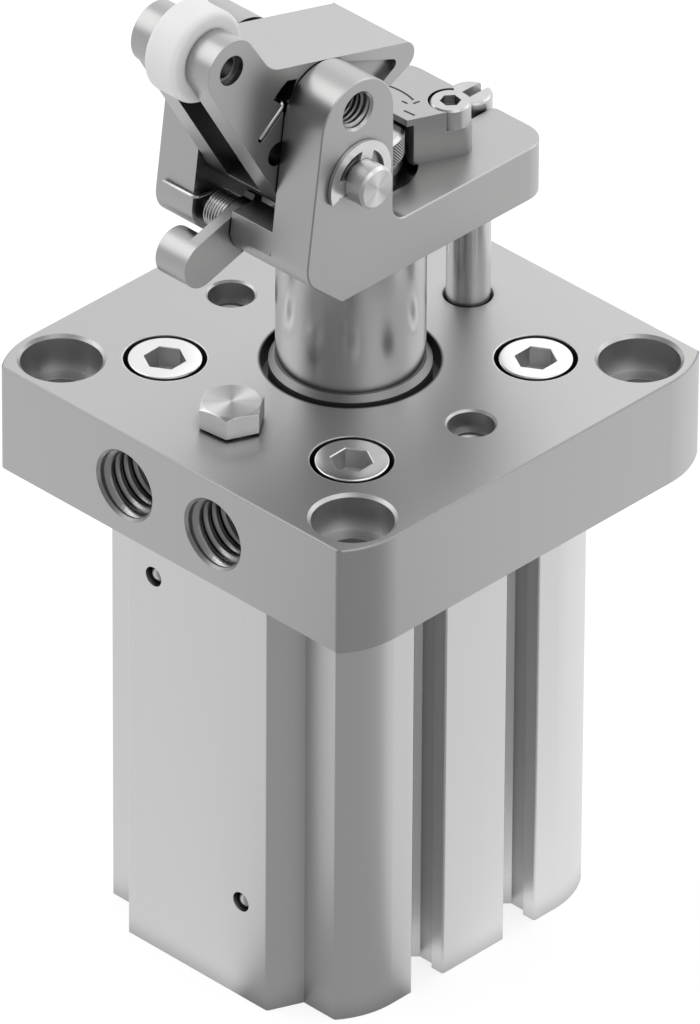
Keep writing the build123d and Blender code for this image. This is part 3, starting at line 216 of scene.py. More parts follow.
def painted_recess_shade(shader, recess_shade, reach):
    """Painted shade: the surface's tone, lowered by the given depth where it sees little of the room."""
    seen = shader.node("ShaderNodeAmbientOcclusion", {"Distance": reach}, samples=RECESS_SAMPLES)
    closed = shader.math("SUBTRACT", 1.0, recess_shade)
    return shader.span(seen.outputs["AO"], *OPEN_RANGE, closed, 1.0)


def drawn(shader, tone, height, lines):
    """The tone and the height with lines drawn into both."""
    stripes = shader.noise(lines["size"], LINE_DETAIL, LINE_ROUGHNESS, lines["stretch"], LINE_SEED)
    depth = lines["depth"]
    tone = shader.times(tone, shader.span(stripes, *NOISE_RANGE, 1 - depth, 1 + depth))
    return tone, shader.math("ADD", height, shader.times(stripes, lines["height"]))


def bumped(shader, height, normal):
    """A normal with a fine relief on it."""
    inputs = {"Height": height, "Normal": normal, "Strength": 1.0, "Distance": 1.0}
    return shader.node("ShaderNodeBump", inputs).outputs["Normal"]


def metal(name, colour, roughness, grain=0.25 * MM, grain_height=2.5e-7, blotch=0.012,
          blotch_size=18 * MM, lines=None, edge=0.1 * MM, edge_highlight=0.12, anisotropy=0.0,
          tangent=None, rough_spread=0.02, recess_shade=0.45, recess_reach=2.5 * MM, shade=None):
    """A metal with fine grain, faint patches, drawn lines, a painted highlight on its edges and
    painted shade in its recesses.

    The edge's radius and painted highlight and the depth of the painted shade in recesses may
    be numbers, or functions of the shader, as shade and tangent are; shade multiplies in
    further painted shade. tangent gives the direction of the turning marks."""
    shader = Shader(bpy.data.materials.new(name))
    edge, edge_highlight, recess_shade = (
        value(shader) if callable(value) else value for value in (edge, edge_highlight, recess_shade))
    patches = shader.noise(blotch_size, PATCH_DETAIL)
    tone = shader.span(patches, *PATCH_RANGE, 1 - blotch, 1 + blotch)
    fine = shader.noise(grain, seed=GRAIN_SEED)
    height = shader.times(fine, grain_height)
    if lines:
        tone, height = drawn(shader, tone, height, lines)
    round_normal, highlight_mask = rounded_edge_highlight(shader, edge)
    # Painted highlight along the edges
    highlight_tone = shader.math("ADD", 1.0, edge_highlight)
    tone = shader.times(tone, shader.span(highlight_mask, 0.0, 1.0, 1.0, highlight_tone))
    # Painted shade in recesses
    tone = shader.times(tone, painted_recess_shade(shader, recess_shade, recess_reach))
    if shade:
        tone = shader.times(tone, shade(shader))
    surface = shader.node("ShaderNodeBsdfPrincipled", {
        "Base Color": shader.scaled(colour, tone),
        "Metallic": 1.0,
        "Roughness": shader.span(fine, *NOISE_RANGE, roughness - rough_spread, roughness + rough_spread),
        "Anisotropic": anisotropy,
        "Anisotropic Rotation": ACROSS if tangent else 0.0,
        "Normal": bumped(shader, height, round_normal),
    })
    if tangent:
        shader.feed(surface.inputs["Tangent"], tangent(shader))
    return shader.finish(surface.outputs["BSDF"])


PLAIN_PATCH = 30            # size of a patch over that of the grain
PLAIN_SEED = 5.0
PLAIN_TONES = (0.97, 1.03)
PLAIN_EDGE = 0.2 * MM
# painted highlight on the edges
PLAIN_EDGE_HIGHLIGHT = 1.04
PLAIN_SPREAD = 0.04
SUBSURFACE_SCALE = 0.5 * MM


def plain_finish(name, colour, roughness, grain, grain_height, metallic=0.0, subsurface=0.0):
    """A moulded or sintered material with a fine grain, faint patches and a faint painted highlight on
    its edges.
    """
    shader = Shader(bpy.data.materials.new(name))
    fine = shader.noise(grain, detail=3.0)
    patches = shader.noise(grain * PLAIN_PATCH, seed=PLAIN_SEED)
    tone = shader.span(patches, *NOISE_RANGE, *PLAIN_TONES)
    round_normal, highlight_mask = rounded_edge_highlight(shader, PLAIN_EDGE)
    tone = shader.times(tone, shader.span(highlight_mask, 0.0, 1.0, 1.0, PLAIN_EDGE_HIGHLIGHT))
    height = shader.times(fine, grain_height)
    surface = shader.node("ShaderNodeBsdfPrincipled", {
        "Base Color": shader.scaled(colour, tone),
        "Metallic": metallic,
        "Roughness": shader.span(fine, *NOISE_RANGE, roughness - PLAIN_SPREAD, roughness + PLAIN_SPREAD),
        "Normal": bumped(shader, height, round_normal),
        "Subsurface Weight": subsurface,
        "Subsurface Scale": SUBSURFACE_SCALE,
    })
    return shader.finish(surface.outputs["BSDF"])


# Directions of turning marks

def around(axis):
    """The direction of turning marks round an object's middle."""
    def tangent(shader):
        return shader.node("ShaderNodeTangent", direction_type="RADIAL", axis=axis).outputs["Tangent"]
    return tangent


def around_four(reach):
    """The direction that runs round each of four centres in the corners of a square."""
    def tangent(shader):
        point = shader.place()
        corner = shader.vector("MULTIPLY", shader.vector("SIGN", point), (reach, reach, 0))
        spoke = shader.vector("MULTIPLY", shader.vector("SUBTRACT", point, corner), LEVEL)
        return shader.vector("NORMALIZE", shader.vector("CROSS_PRODUCT", Z_AXIS, spoke))
    return tangent


# Flange and barrel. A zone is a pair of distances between which a look changes.

SCREW_REACH = 17.3241 * MM      # each flange screw from the middle, along X and along Y
SEAT_ZONE = (6.0 * MM, 6.6 * MM)
SEAT_EDGE = (0.3 * MM, 0.1 * MM)
# painted highlight on edges at the screws' seats, faint painted shade on edges elsewhere
SEAT_HIGHLIGHT = (1.1, -0.18)
MIDDLE_ZONE = (13.5 * MM, 15.0 * MM)
# depth of the painted shade in recesses: in the middle, and further out
FLANGE_RECESS_SHADE = (0.85, 0.3)
CORNER_REACH = 27.0 * MM        # each corner seat from the middle, along X and along Y
CORNER_ZONE = (6.3 * MM, 6.6 * MM)
CORNER_PAINTED_LIGHT = -0.5            # negative: painted light makes the corner seats' hollows brighter
BORE_ZONE = (12.1 * MM, 12.4 * MM)
# painted shade in the bore round the wiper
BORE_PAINTED_SHADE = 0.15
RIM_ZONE = (33.3 * MM, 33.5 * MM)
RIM_LOW = (0.1, 0.3)            # how far the rounded edge's normal points up
RIM_HIGH = (0.85, 0.95)
# painted shade that dims the reflection on the outer edge
RIM_PAINTED_SHADE = 0.62
FLANGE_COLOUR = (0.52, 0.52, 0.518)
FLANGE_LINES = {"size": 0.30 * MM, "stretch": (1, 0.04, 1), "depth": 0.004, "height": 1e-7}
# a darker copy of the flange's colour: painted shade inside the ports
PORT_SHADED_COLOUR = (0.44, 0.44, 0.438)
BARREL_COLOUR = (0.70, 0.70, 0.703)
BARREL_LINES = {"size": 0.45 * MM, "stretch": (1, 1, 0.004), "depth": 0.008, "height": 3e-7}


def folded_distance(shader, reach):
    """The distance from the nearest of four centres in the corners of a square."""
    folded = shader.vector("ABSOLUTE", shader.place(LEVEL))
    return shader.length(shader.vector("SUBTRACT", folded, (reach, reach, 0)))


def seat_edges(shader):
    """The rounding of edges, larger at the screws' seats."""
    return shader.span(folded_distance(shader, SCREW_REACH), *SEAT_ZONE, *SEAT_EDGE)


def seat_highlights(shader):
    """The painted highlight on edges, strong at the screws' seats, and a faint painted shade on edges
    elsewhere.
    """
    return shader.span(folded_distance(shader, SCREW_REACH), *SEAT_ZONE, *SEAT_HIGHLIGHT)


def flange_recess_shade(shader):
    """The depth of the painted shade in recesses, largest in the ports, and negative, which is painted
    light, in the corner seats.
    """
    middle = shader.span(shader.length(shader.place(Y_AXIS)), *MIDDLE_ZONE, *FLANGE_RECESS_SHADE)
    corner = shader.span(folded_distance(shader, CORNER_REACH), *CORNER_ZONE, 1.0, 0.0)
    change = shader.times(corner, shader.math("SUBTRACT", CORNER_PAINTED_LIGHT, middle))
    return shader.math("ADD", middle, change)


def rim_shade(shader):
    """Painted shade on the flange's rounded outer edge, dimming its reflection of the room above."""
    outside = shader.span(shader.length(shader.place(LEVEL)), *RIM_ZONE, 0.0, 1.0)
    off_seats = shader.span(folded_distance(shader, CORNER_REACH), *CORNER_ZONE, 0.0, 1.0)
    up = shader.dot(shader.normal(), Z_AXIS)
    tilted = shader.times(shader.span(up, *RIM_LOW, 0.0, 1.0), shader.span(up, *RIM_HIGH, 1.0, 0.0))
    share = shader.times(tilted, shader.times(outside, off_seats))
    return shader.span(share, 0.0, 1.0, 1.0, RIM_PAINTED_SHADE)


def flange_shade(shader):
    """Painted shade in the bore round the wiper, and along the outer edge."""
    bore = shader.span(shader.length(shader.place(LEVEL)), *BORE_ZONE, BORE_PAINTED_SHADE, 1.0)
    return shader.times(bore, rim_shade(shader))


def flange_finish():
    return metal("flange_satin", FLANGE_COLOUR, roughness=0.39, blotch=0.006, blotch_size=30 * MM,
                 lines=FLANGE_LINES, edge=seat_edges, edge_highlight=seat_highlights, recess_shade=flange_recess_shade,
                 shade=flange_shade)


def port_finish():
    # Painted shade: the flange's metal, darker inside the ports
    return metal("port_thread", PORT_SHADED_COLOUR, roughness=0.30, blotch=0.006, edge=0.05 * MM,
                 edge_highlight=0.3, rough_spread=0.01, recess_shade=0.8, recess_reach=2.0 * MM)


def barrel_finish():
    # Painted shade in the barrel's slots and recesses
    return metal("barrel_extruded", BARREL_COLOUR, roughness=0.36, blotch=0.006, blotch_size=40 * MM,
                 lines=BARREL_LINES, recess_shade=0.72, recess_reach=5 * MM)


# Head, lever and finger

PLATED_COLOUR = (0.46, 0.46, 0.457)
PAWL_ZONE = (-20.6 * MM, -19.6 * MM)
# painted shade on the pawl inside the head
PAWL_SHADE = 0.15


def painted_pawl_shade(shader):
    """Painted shade on the finger's pawl, inside the head, where shade falls."""
    return shader.span(shader.dot(shader.place(), X_AXIS), *PAWL_ZONE, 1.0, PAWL_SHADE)


def head_finish():
    return metal("head_plated", PLATED_COLOUR, roughness=0.33, blotch_size=9 * MM, edge_highlight=0.2,
                 recess_shade=0.6, recess_reach=5 * MM)


def latch_finish():
    # Painted shade in recesses, and on the pawl inside the head
    return metal("latch_plated", PLATED_COLOUR, roughness=0.33, blotch_size=9 * MM, edge_highlight=0.1,
                 recess_shade=0.7, recess_reach=6 * MM, shade=painted_pawl_shade)


def lever_finish():
    # Painted shade reaching far into the recesses round the lever
    return metal("lever_plated", PLATED_COLOUR, roughness=0.30, blotch_size=7 * MM, edge_highlight=0.2,
                 rough_spread=0.01, recess_shade=0.85, recess_reach=9 * MM)


# Turned, faced and drawn steel

# depth of the painted shade on a flat end's diagonals
FAN_SHADE_DEPTH = 0.24
FAN_FACE = (0.9, 0.97)      # how far a face may turn from the axis, as cosines
CHROME_COLOUR = (0.59, 0.59, 0.593)
CHROME_LINES = {"size": 0.25 * MM, "stretch": (0.05, 0.05, 1), "depth": 0.006, "height": 1e-7}


def turned_finish(name, colour, roughness, tangent, anisotropy=0.8, recess_shade=0.65, edge_highlight=0.12):
    return metal(name, colour, roughness, grain=0.12 * MM, blotch=0.02, blotch_size=4 * MM,
                 edge=0.06 * MM, edge_highlight=edge_highlight, anisotropy=anisotropy, tangent=tangent,
                 rough_spread=0.01, recess_shade=recess_shade)


def painted_fan(node, axis):
    """A painted fan of light on the flat end of a turned piece, with painted shade on its two diagonals.
    """
    low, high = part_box(node)
    centre = tuple((low + high) / 2)
    flat = tuple(1.0 - part for part in axis)

    def shade(shader):
        spoke = shader.vector("MULTIPLY", shader.vector("SUBTRACT", shader.place(), centre), flat)
        cosine = shader.dot(shader.vector("NORMALIZE", spoke), X_AXIS)
        # The squared cosine is a half on the diagonals
        off_diagonal = shader.math("ABSOLUTE", shader.math("SUBTRACT", shader.times(cosine, cosine), 0.5))
        dark = shader.span(off_diagonal, 0.0, 0.5, FAN_SHADE_DEPTH, 0.0)
        facing = shader.math("ABSOLUTE", shader.dot(shader.normal(), axis))
        depth = shader.times(dark, shader.span(facing, *FAN_FACE, 0.0, 1.0))
        return shader.math("SUBTRACT", 1.0, depth)
    return shade


def faced_finish(name, colour, node, axis_name, axis):
    return metal(name, colour, roughness=0.34, grain=0.12 * MM, blotch=0.01, blotch_size=4 * MM,
                 edge=0.12 * MM, edge_highlight=0.35, anisotropy=0.9, tangent=around(axis_name),
                 rough_spread=0.01, recess_shade=0.65, shade=painted_fan(node, axis))


def socket_finish():
    return metal("socket_pressed", grey(0.74), roughness=0.40, blotch=0.02, blotch_size=3 * MM,
                 edge=0.05 * MM, edge_highlight=0.15, recess_shade=0.32, recess_reach=4 * MM)


def knurl_finish():
    # Painted shade deep in the grooves between the diamonds
    return metal("ring_knurled", grey(0.50), roughness=0.20, grain=0.1 * MM, blotch=0.02,
                 blotch_size=3 * MM, edge=0.03 * MM, edge_highlight=0.0, rough_spread=0.01, recess_shade=0.95,
                 recess_reach=0.35 * MM)


def rod_finish():
    return metal("rod_chromed", CHROME_COLOUR, roughness=0.24, grain_height=1e-7, blotch=0.006,
                 lines=CHROME_LINES, edge=0.1 * MM, edge_highlight=0.05, rough_spread=0.008, recess_shade=0.2)


def wire_finish(name, colour, recess_shade):
    return metal(name, colour, roughness=0.22, grain=0.1 * MM, blotch=0.04, blotch_size=2 * MM,
                 edge=0.05 * MM, edge_highlight=0.0, recess_shade=recess_shade)


# Meshes

SHARP_ANGLE = 32.0          # in degrees
WIRE_SIDES = 12
WIRE_END_ROUND = 0.3        # rounding of a wire's ends, as a share of its radius
BEND_STEPS = 6
COIL_STEPS = 28             # steps in each turn of a coil


def mesh_piece(name, points, faces, material, smooth=True, sharp=False):
    """An object made of points and faces. sharp keeps its angles crisp under smooth shading."""
    mesh = bpy.data.meshes.new(name)
    mesh.from_pydata([tuple(point) for point in points], [], faces)
    mesh.validate()
    for polygon in mesh.polygons:
        polygon.use_smooth = smooth
    if sharp:
        mesh.set_sharp_from_angle(angle=radians(SHARP_ANGLE))
    mesh.materials.append(material)
    piece = bpy.data.objects.new(name, mesh)
    bpy.context.scene.collection.objects.link(piece)
    return piece


def second_material(piece, material, chosen):
    """Gives a second material to the polygons whose centres are chosen."""
    piece.data.materials.append(material)
    for polygon in piece.data.polygons:
        if chosen(polygon.center):
            polygon.material_index = 1


def skin(rings, closed_path=False, start=0):
    """Points and faces of a skin over rings of equally many points, capped if it is open."""
    size = len(rings[0])
    points = [point for ring in rings for point in ring]
    faces = []
    spans = len(rings) if closed_path else len(rings) - 1
    for i in range(spans):
        low = start + i * size
        high = start + (i + 1) % len(rings) * size
        for j in range(size):
            k = (j + 1) % size
            faces.append((low + j, low + k, high + k, high + j))
    if not closed_path:
        last = start + (len(rings) - 1) * size
        faces.append(tuple(start + j for j in reversed(range(size))))
        faces.append(tuple(last + j for j in range(size)))
    return points, faces


def skins(bodies):
    """Points and faces of several capped skins."""
    points, faces = [], []
    for rings in bodies:
        more_points, more_faces = skin(rings, start=len(points))
        points += more_points
        faces += more_faces
    return points, faces


def polar(radius, angle, z, centre=(0.0, 0.0)):
    """The point at an angle round a centre, at a height."""
    return Vector((centre[0] + radius * cos(angle), centre[1] + radius * sin(angle), z))


def tube_rings(path, radius):
    """Rings of a round wire along a path, with its ends a little rounded."""
    rings = []
    ahead = (path[1] - path[0]).normalized()
    side = ahead.orthogonal().normalized()
    for i, point in enumerate(path):
        before = path[max(i - 1, 0)]
        after = path[min(i + 1, len(path) - 1)]
        new_ahead = (after - before).normalized()
        side = ahead.rotation_difference(new_ahead) @ side
        side = (side - new_ahead * side.dot(new_ahead)).normalized()
        ahead = new_ahead
        other = ahead.cross(side)
        angles = (2 * pi * j / WIRE_SIDES for j in range(WIRE_SIDES))
        rings.append([point + (side * cos(angle) + other * sin(angle)) * radius for angle in angles])
    drop = radius * WIRE_END_ROUND
    back = (path[1] - path[0]).normalized() * drop
    start = [point.lerp(path[0], WIRE_END_ROUND) - back for point in rings[0]]
    end = [point.lerp(path[-1], WIRE_END_ROUND) + ahead * drop for point in rings[-1]]
    return [start] + rings + [end]


def wire_piece(name, path, radius, material):
    """A round wire along a path."""
    points, faces = skin(tube_rings(path, radius))
    return mesh_piece(name, points, faces, material)


def bent_path(corners, radius):
    """A path through corners, each rounded to a radius."""
    path = [corners[0]]
    for before, corner, after in zip(corners, corners[1:], corners[2:]):
        one = (before - corner).normalized()
        two = (after - corner).normalized()
        half = one.angle(two) / 2
        reach = radius / tan(half)
        middle = corner + (one + two).normalized() * radius / sin(half)
        start = corner + one * reach - middle
        end = corner + two * reach - middle
        axis = start.normalized().cross(end.normalized())
        for i in range(BEND_STEPS + 1):
            path.append(middle + Quaternion(axis, (pi - 2 * half) * i / BEND_STEPS) @ start)
    path.append(corners[-1])
    return path


def coil_path(centre, radius, start_y, end_y, turns, end_angle, direction):
    """A coil about an axis along Y that ends at an angle in the XZ plane, in radians."""
    path = []
    count = int(turns * COIL_STEPS)
    for i in range(count + 1):
        share = i / count
        angle = end_angle - direction * 2 * pi * turns * (1 - share)
        y = start_y + (end_y - start_y) * share
        path.append(Vector((centre[0] + radius * cos(angle), y, centre[1] + radius * sin(angle))))
    return path


def tangent_angle(centre, radius, target, side):
    """The angle at which a line from target touches a circle in the XZ plane."""
    dx, dz = target[0] - centre[0], target[1] - centre[1]
    distance = hypot(dx, dz)
    return atan2(dz, dx) + side * (pi / 2 - asin(radius / distance))


# Latch spring

LATCH_CENTRE = (-18.8 * MM, 45.4 * MM)      # along X and up
LATCH_WIRE = 0.235 * MM                     # radius
LATCH_RADIUS = 2.45 * MM
LATCH_PITCH = 0.48 * MM
LATCH_TURNS = 8
LATCH_START = 2.3 * MM
LATCH_LEG_Z = 48.3 * MM
LATCH_LEG_END = 12.4 * MM
LATCH_BEND = 0.75 * MM


def latch_spring(material):
    """The wound spring on the latch finger's pin, with its leg on the far ear."""
    leg = (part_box("latch_spring")[0].x + LATCH_WIRE, LATCH_LEG_Z)
    angle = tangent_angle(LATCH_CENTRE, LATCH_RADIUS, leg, -1)
    end_y = LATCH_START + (LATCH_TURNS + 0.5) * LATCH_PITCH
    coil = coil_path(LATCH_CENTRE, LATCH_RADIUS, LATCH_START + LATCH_WIRE, end_y, LATCH_TURNS, angle,
                     direction=1)
    corner = Vector((leg[0], end_y, leg[1]))
    tip = Vector((leg[0], LATCH_LEG_END, leg[1]))
    path = coil[:-1] + bent_path([coil[-1], corner, tip], LATCH_BEND)
    piece = wire_piece("latch_spring_wire", path, LATCH_WIRE, material)
    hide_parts("latch_spring")
    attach(piece, "head")


# Lever spring

HUB_CENTRE = (-13.25 * MM, 56.4 * MM)       # along X and up
LEVER_HALF = 7.05 * MM                      # half of the lever's width
LEVER_WIRE = 0.5 * MM                       # radius
LEVER_COIL_RADIUS = 4.4 * MM
LEVER_COIL_TURNS = 1.5
LEVER_COIL_LENGTH = 1.0 * MM
LEVER_SEAT_DEPTH = 2.6 * MM
LEVER_LEG_RISE = 0.05 * MM
LEVER_RISER = (-19.6 * MM, 67.3 * MM)
LEVER_TIP = (-24.0 * MM, 64.0 * MM)
LEVER_BEND = 0.7 * MM


def lever_spring(material):
    """The lever's return spring: its coil round the hub, and its leg in the near face."""
    angle = tangent_angle(HUB_CENTRE, LEVER_COIL_RADIUS, LEVER_RISER, 1)
    deep_y = -LEVER_HALF + LEVER_SEAT_DEPTH - LEVER_LEG_RISE - LEVER_WIRE
    leg_y = -LEVER_HALF - LEVER_LEG_RISE + LEVER_WIRE
    coil = coil_path(HUB_CENTRE, LEVER_COIL_RADIUS, deep_y - LEVER_COIL_LENGTH, deep_y,
                     LEVER_COIL_TURNS, angle, direction=-1)
    corners = [
        coil[-1],
        Vector((LEVER_RISER[0], deep_y, LEVER_RISER[1])),
        Vector((LEVER_RISER[0], leg_y, LEVER_RISER[1])),
        Vector((LEVER_TIP[0], leg_y, LEVER_TIP[1])),
    ]
    path = coil[:-1] + bent_path(corners, LEVER_BEND)
    piece = wire_piece("lever_spring_wire", path, LEVER_WIRE, material)
    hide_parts("lever_spring")
    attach(piece, "lever")


# Knurled ring

RING_STEPS = 900
KNURL_COUNT = 90            # diamonds round the ring, each as high as it is wide
KNURL_DEPTH = 0.28 * MM
KNURL_ROWS = 60
KNURL_SHARPNESS = 3         # above 1 for narrow grooves and broad diamonds
KNURL_RADIUS = 6.95 * MM    # the ring's own, from which the diamonds' height is worked out
RING_FOOT = 0.3 * MM
RING_BEVEL = 0.45 * MM
RING_EYE = 3.0 * MM         # radius of the hole in its top
RING_LIP = 0.9 * MM         # thickness of its top
RING_STUB = 4.05 * MM       # inner radius under its top


def zigzag(value):
    """A wave that falls from 1 to 0 and rises again between whole numbers."""
    return abs(value % 1 - 0.5) * 2


def knurl_depth(angle, height):
    """The depth of a diamond knurl at an angle and a height."""
    across = angle * KNURL_COUNT / (2 * pi)
    up = height / (2 * pi * KNURL_RADIUS / KNURL_COUNT)
    return KNURL_DEPTH * max(zigzag(across + up), zigzag(across - up)) ** KNURL_SHARPNESS


def ring_profile(outer, bottom, top):
    """The ring's section: radii and heights, and whether each is knurled."""
    low, high = bottom + RING_FOOT, top - RING_BEVEL
    profile = [(RING_STUB, bottom, False), (outer - RING_FOOT, bottom, False)]
    for row in range(KNURL_ROWS + 1):
        profile.append((outer, low + (high - low) * row / KNURL_ROWS, 0 < row < KNURL_ROWS))
    inside = top - RING_LIP
    profile += [(outer - RING_BEVEL, top, False), (RING_EYE, top, False), (RING_EYE, inside, False),
                (RING_STUB, inside, False)]
    return profile


def knurled_ring(material, plain_material):
    """The absorber's adjusting ring, knurled round its side and plain on its top."""
    low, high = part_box("adjusting_ring")
    outer = (high.x - low.x) / 2
    profile = ring_profile(outer, low.z, high.z)
    foot = low.z + RING_FOOT
    rings = []
    for step in range(RING_STEPS):
        angle = 2 * pi * step / RING_STEPS
        ring = []
        for radius, z, knurled in profile:
            cut = knurl_depth(angle, z - foot) if knurled else 0.0
            ring.append(polar(radius - cut, angle, z))
        rings.append(ring)
    points, faces = skin(rings, closed_path=True)
    piece = mesh_piece("adjusting_ring_knurled", points, faces, material, smooth=False)
    second_material(piece, plain_material, lambda centre: centre.z > high.z - RING_BEVEL)
    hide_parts("adjusting_ring")
    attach(piece, "adjuster")


# Threads

THREAD_STEPS = 48       # steps in each turn
THREAD_ROUNDS = 7       # points across a rounded ridge
THREAD_FLANK = 0.8      # below 1 for steep flanks and a broad crest
THREAD_BURY = 0.03 * MM
THREAD_FADE = 15        # steps over which a ridge rises at its ends
PORT_THREAD = (4.865 * MM, 4.10 * MM, 1.58 * MM)    # outer and inner radius, and pitch
PORT_DEPTH = 8.1 * MM
PORT_X = -33.6 * MM
PORT_LEAD = 0.55
PORT_Y = 8.2 * MM
PORT_Z = 7.8 * MM
M5_THREAD = (2.5 * MM, 2.08 * MM, 0.8 * MM)
TURN_RADIUS = 22.25 * MM
TURN_THREAD_TOP = 13.0 * MM
TURN_THREAD_LENGTH = 8.4 * MM
EAR_X = -13.25 * MM
EAR_Z = 66.6 * MM
EAR_FACE = 13.65 * MM
EAR_THREAD_LENGTH = 6.1 * MM


def ridge_section(along, half, wall, top):
    """Depths and radii across a thread's ridge, from its foot in the wall over its crest."""
    section = []
    for i in range(THREAD_ROUNDS + 2):
        share = i / (THREAD_ROUNDS + 1) * 2 - 1
        radius = wall - (wall - top) * cos(share * pi / 2) ** THREAD_FLANK
        section.append((along + share * half, radius))
    return section


def thread_piece(name, mouth, inward, sizes, length, body, material, lead=0.0):
    """An internal thread's ridge, wound from the mouth of a hole inwards.

    lead turns its start back, as a share of a turn."""
    outer, inner, pitch = sizes
    mouth, inward = Vector(mouth), Vector(inward)
    side = inward.orthogonal().normalized()
    other = inward.cross(side)
    half = pitch / 2
    count = int((length / pitch - 1) * THREAD_STEPS)
    rings = []
    for step in range(count + 1):
        angle = 2 * pi * (step / THREAD_STEPS - lead)
        out = side * cos(angle) + other * sin(angle)
        rise = min(1.0, (step + 1) / THREAD_FADE, (count - step + 1) / THREAD_FADE)
        top = outer - (outer - inner) * rise
        section = ridge_section(half + pitch * step / THREAD_STEPS, half, outer + THREAD_BURY, top)
        rings.append([mouth + inward * depth + out * radius for depth, radius in section])
    points, faces = skin(rings)
    piece = mesh_piece(name, points, faces, material, smooth=False)
    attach(piece, body)


def threads(port_material, flange_material, head_material):
    """The threads of the two ports, of the two free holes round the rod and of the ears."""
    for name, sign in (("left", 1), ("right", -1)):
        thread_piece(f"port_thread_{name}", (PORT_X, sign * PORT_Y, PORT_Z), X_AXIS, PORT_THREAD,
                     PORT_DEPTH, "housing", port_material, PORT_LEAD)
    for name, sign in (("near", -1), ("far", 1)):
        thread_piece(f"turn_thread_{name}", (0, sign * TURN_RADIUS, TURN_THREAD_TOP), (0, 0, -1),
                     M5_THREAD, TURN_THREAD_LENGTH, "housing", flange_material)
        thread_piece(f"ear_thread_{name}", (EAR_X, sign * EAR_FACE, EAR_Z), (0, -sign, 0),
                     M5_THREAD, EAR_THREAD_LENGTH, "head", head_material)


# Flange screws

SCREW_STEPS = 72
SCREW_HEAD = 4.95 * MM      # radius
SCREW_RISE = 0.15 * MM      # how much higher than the CAD's a head stands
SCREW_HEAD_HEIGHT = 6.0 * MM
SCREW_FOOT_EDGE = 0.2 * MM
SCREW_BEVEL = 0.22 * MM
SCREW_BEVEL_STEPS = 4
SCREW_SHANK = 2.95 * MM     # radius
SCREW_POINT = 0.4 * MM
SOCKET_HALF = 2.5 * MM      # half of the socket's width across its flats
SOCKET_DEPTH = 3.0 * MM
SOCKET_POINT = 0.5 * MM
SOCKET_BOTTOM = 4.0 * MM    # a level under the socket
SOCKET_EDGE = 0.1 * MM
SOCKET_TURN = 1.4           # in degrees


def hex_reach(half_width, angle):
    """The distance from a hexagon's middle to its outline, at an angle from a corner."""
    return half_width / cos(angle % (pi / 3) - pi / 6)


def screw_profile(bottom, top):
    """A socket head screw's section: reaches and heights, and whether each is hexagonal."""
    head = top - SCREW_RISE - SCREW_HEAD_HEIGHT
    bed = top - SOCKET_DEPTH
    rows = [(SCREW_SHANK - SCREW_POINT, bottom), (SCREW_SHANK, bottom + SCREW_POINT),
            (SCREW_SHANK, head), (SCREW_HEAD - SCREW_FOOT_EDGE, head),
            (SCREW_HEAD, head + SCREW_FOOT_EDGE)]
    for step in range(SCREW_BEVEL_STEPS + 1):
        angle = pi / 2 * step / SCREW_BEVEL_STEPS
        rows.append((SCREW_HEAD - SCREW_BEVEL * (1 - cos(angle)), top - SCREW_BEVEL * (1 - sin(angle))))
    socket = [(SOCKET_HALF + SOCKET_EDGE, top), (SOCKET_HALF, top - SOCKET_EDGE), (SOCKET_HALF, bed)]
    profile = [(reach, z, False) for reach, z in rows]
    profile += [(reach, z, True) for reach, z in socket]
    return profile + [(SOCKET_POINT, bed - SOCKET_POINT, False)]


def screw_rings(centre, bottom, top):
    """Rings of a socket head screw, from its point up over the head and down into the socket."""
    rings = []
    for reach, z, hexagonal in screw_profile(bottom, top):
        ring = []
        for step in range(SCREW_STEPS):
            angle = 2 * pi * step / SCREW_STEPS
            radius = hex_reach(reach, angle) if hexagonal else reach
            ring.append(polar(radius, angle + radians(SOCKET_TURN), z, centre))
        rings.append(ring)
    return rings


def flange_screws(material, socket_material):
    """The four screws that hold the flange, with their sockets."""
    low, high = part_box("flange_screws")
    top = high.z + SCREW_RISE

    def in_socket(point):
        away = hypot(abs(point.x) - SCREW_REACH, abs(point.y) - SCREW_REACH)
        return away < SCREW_SHANK - SOCKET_EDGE and top - SOCKET_BOTTOM < point.z < top - SOCKET_EDGE

    sides = (-SCREW_REACH, SCREW_REACH)
    points, faces = skins(screw_rings((x, y), low.z, top) for x in sides for y in sides)
    piece = mesh_piece("flange_screws_socket", points, faces, material, sharp=True)
    second_material(piece, socket_material, in_socket)
    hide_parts("flange_screws")
    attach(piece, "housing")


# Marks on the clamp block, dark with painted shade

MARK_WIDTH = 0.32 * MM
MARK_RISE = 0.01 * MM
MARK_SINK = 0.05 * MM
MARK_ARC = (9.1 * MM, 12.0, -17.5)      # radius, and two angles round the ring in degrees
MARK_STEPS = 16
MARK_STROKES = (                        # ends of the straight strokes, in millimetres
    ((7.45, -1.86), (7.50, -2.80)),
    ((8.03, -3.35), (9.05, -3.52)),
    ((5.96, -3.68), (6.10, -5.50)),
)


def strip(path, width, low, high):
    """Rings of a flat strip along a path, from a low to a high level."""
    rings = []
    for i, point in enumerate(path):
        ahead = (path[min(i + 1, len(path) - 1)] - path[max(i - 1, 0)]).normalized()
        side = Vector((-ahead.y, ahead.x, 0)) * width / 2
        section = ((point - side, low), (point + side, low), (point + side, high), (point - side, high))
        rings.append([Vector((corner.x, corner.y, z)) for corner, z in section])
    return rings


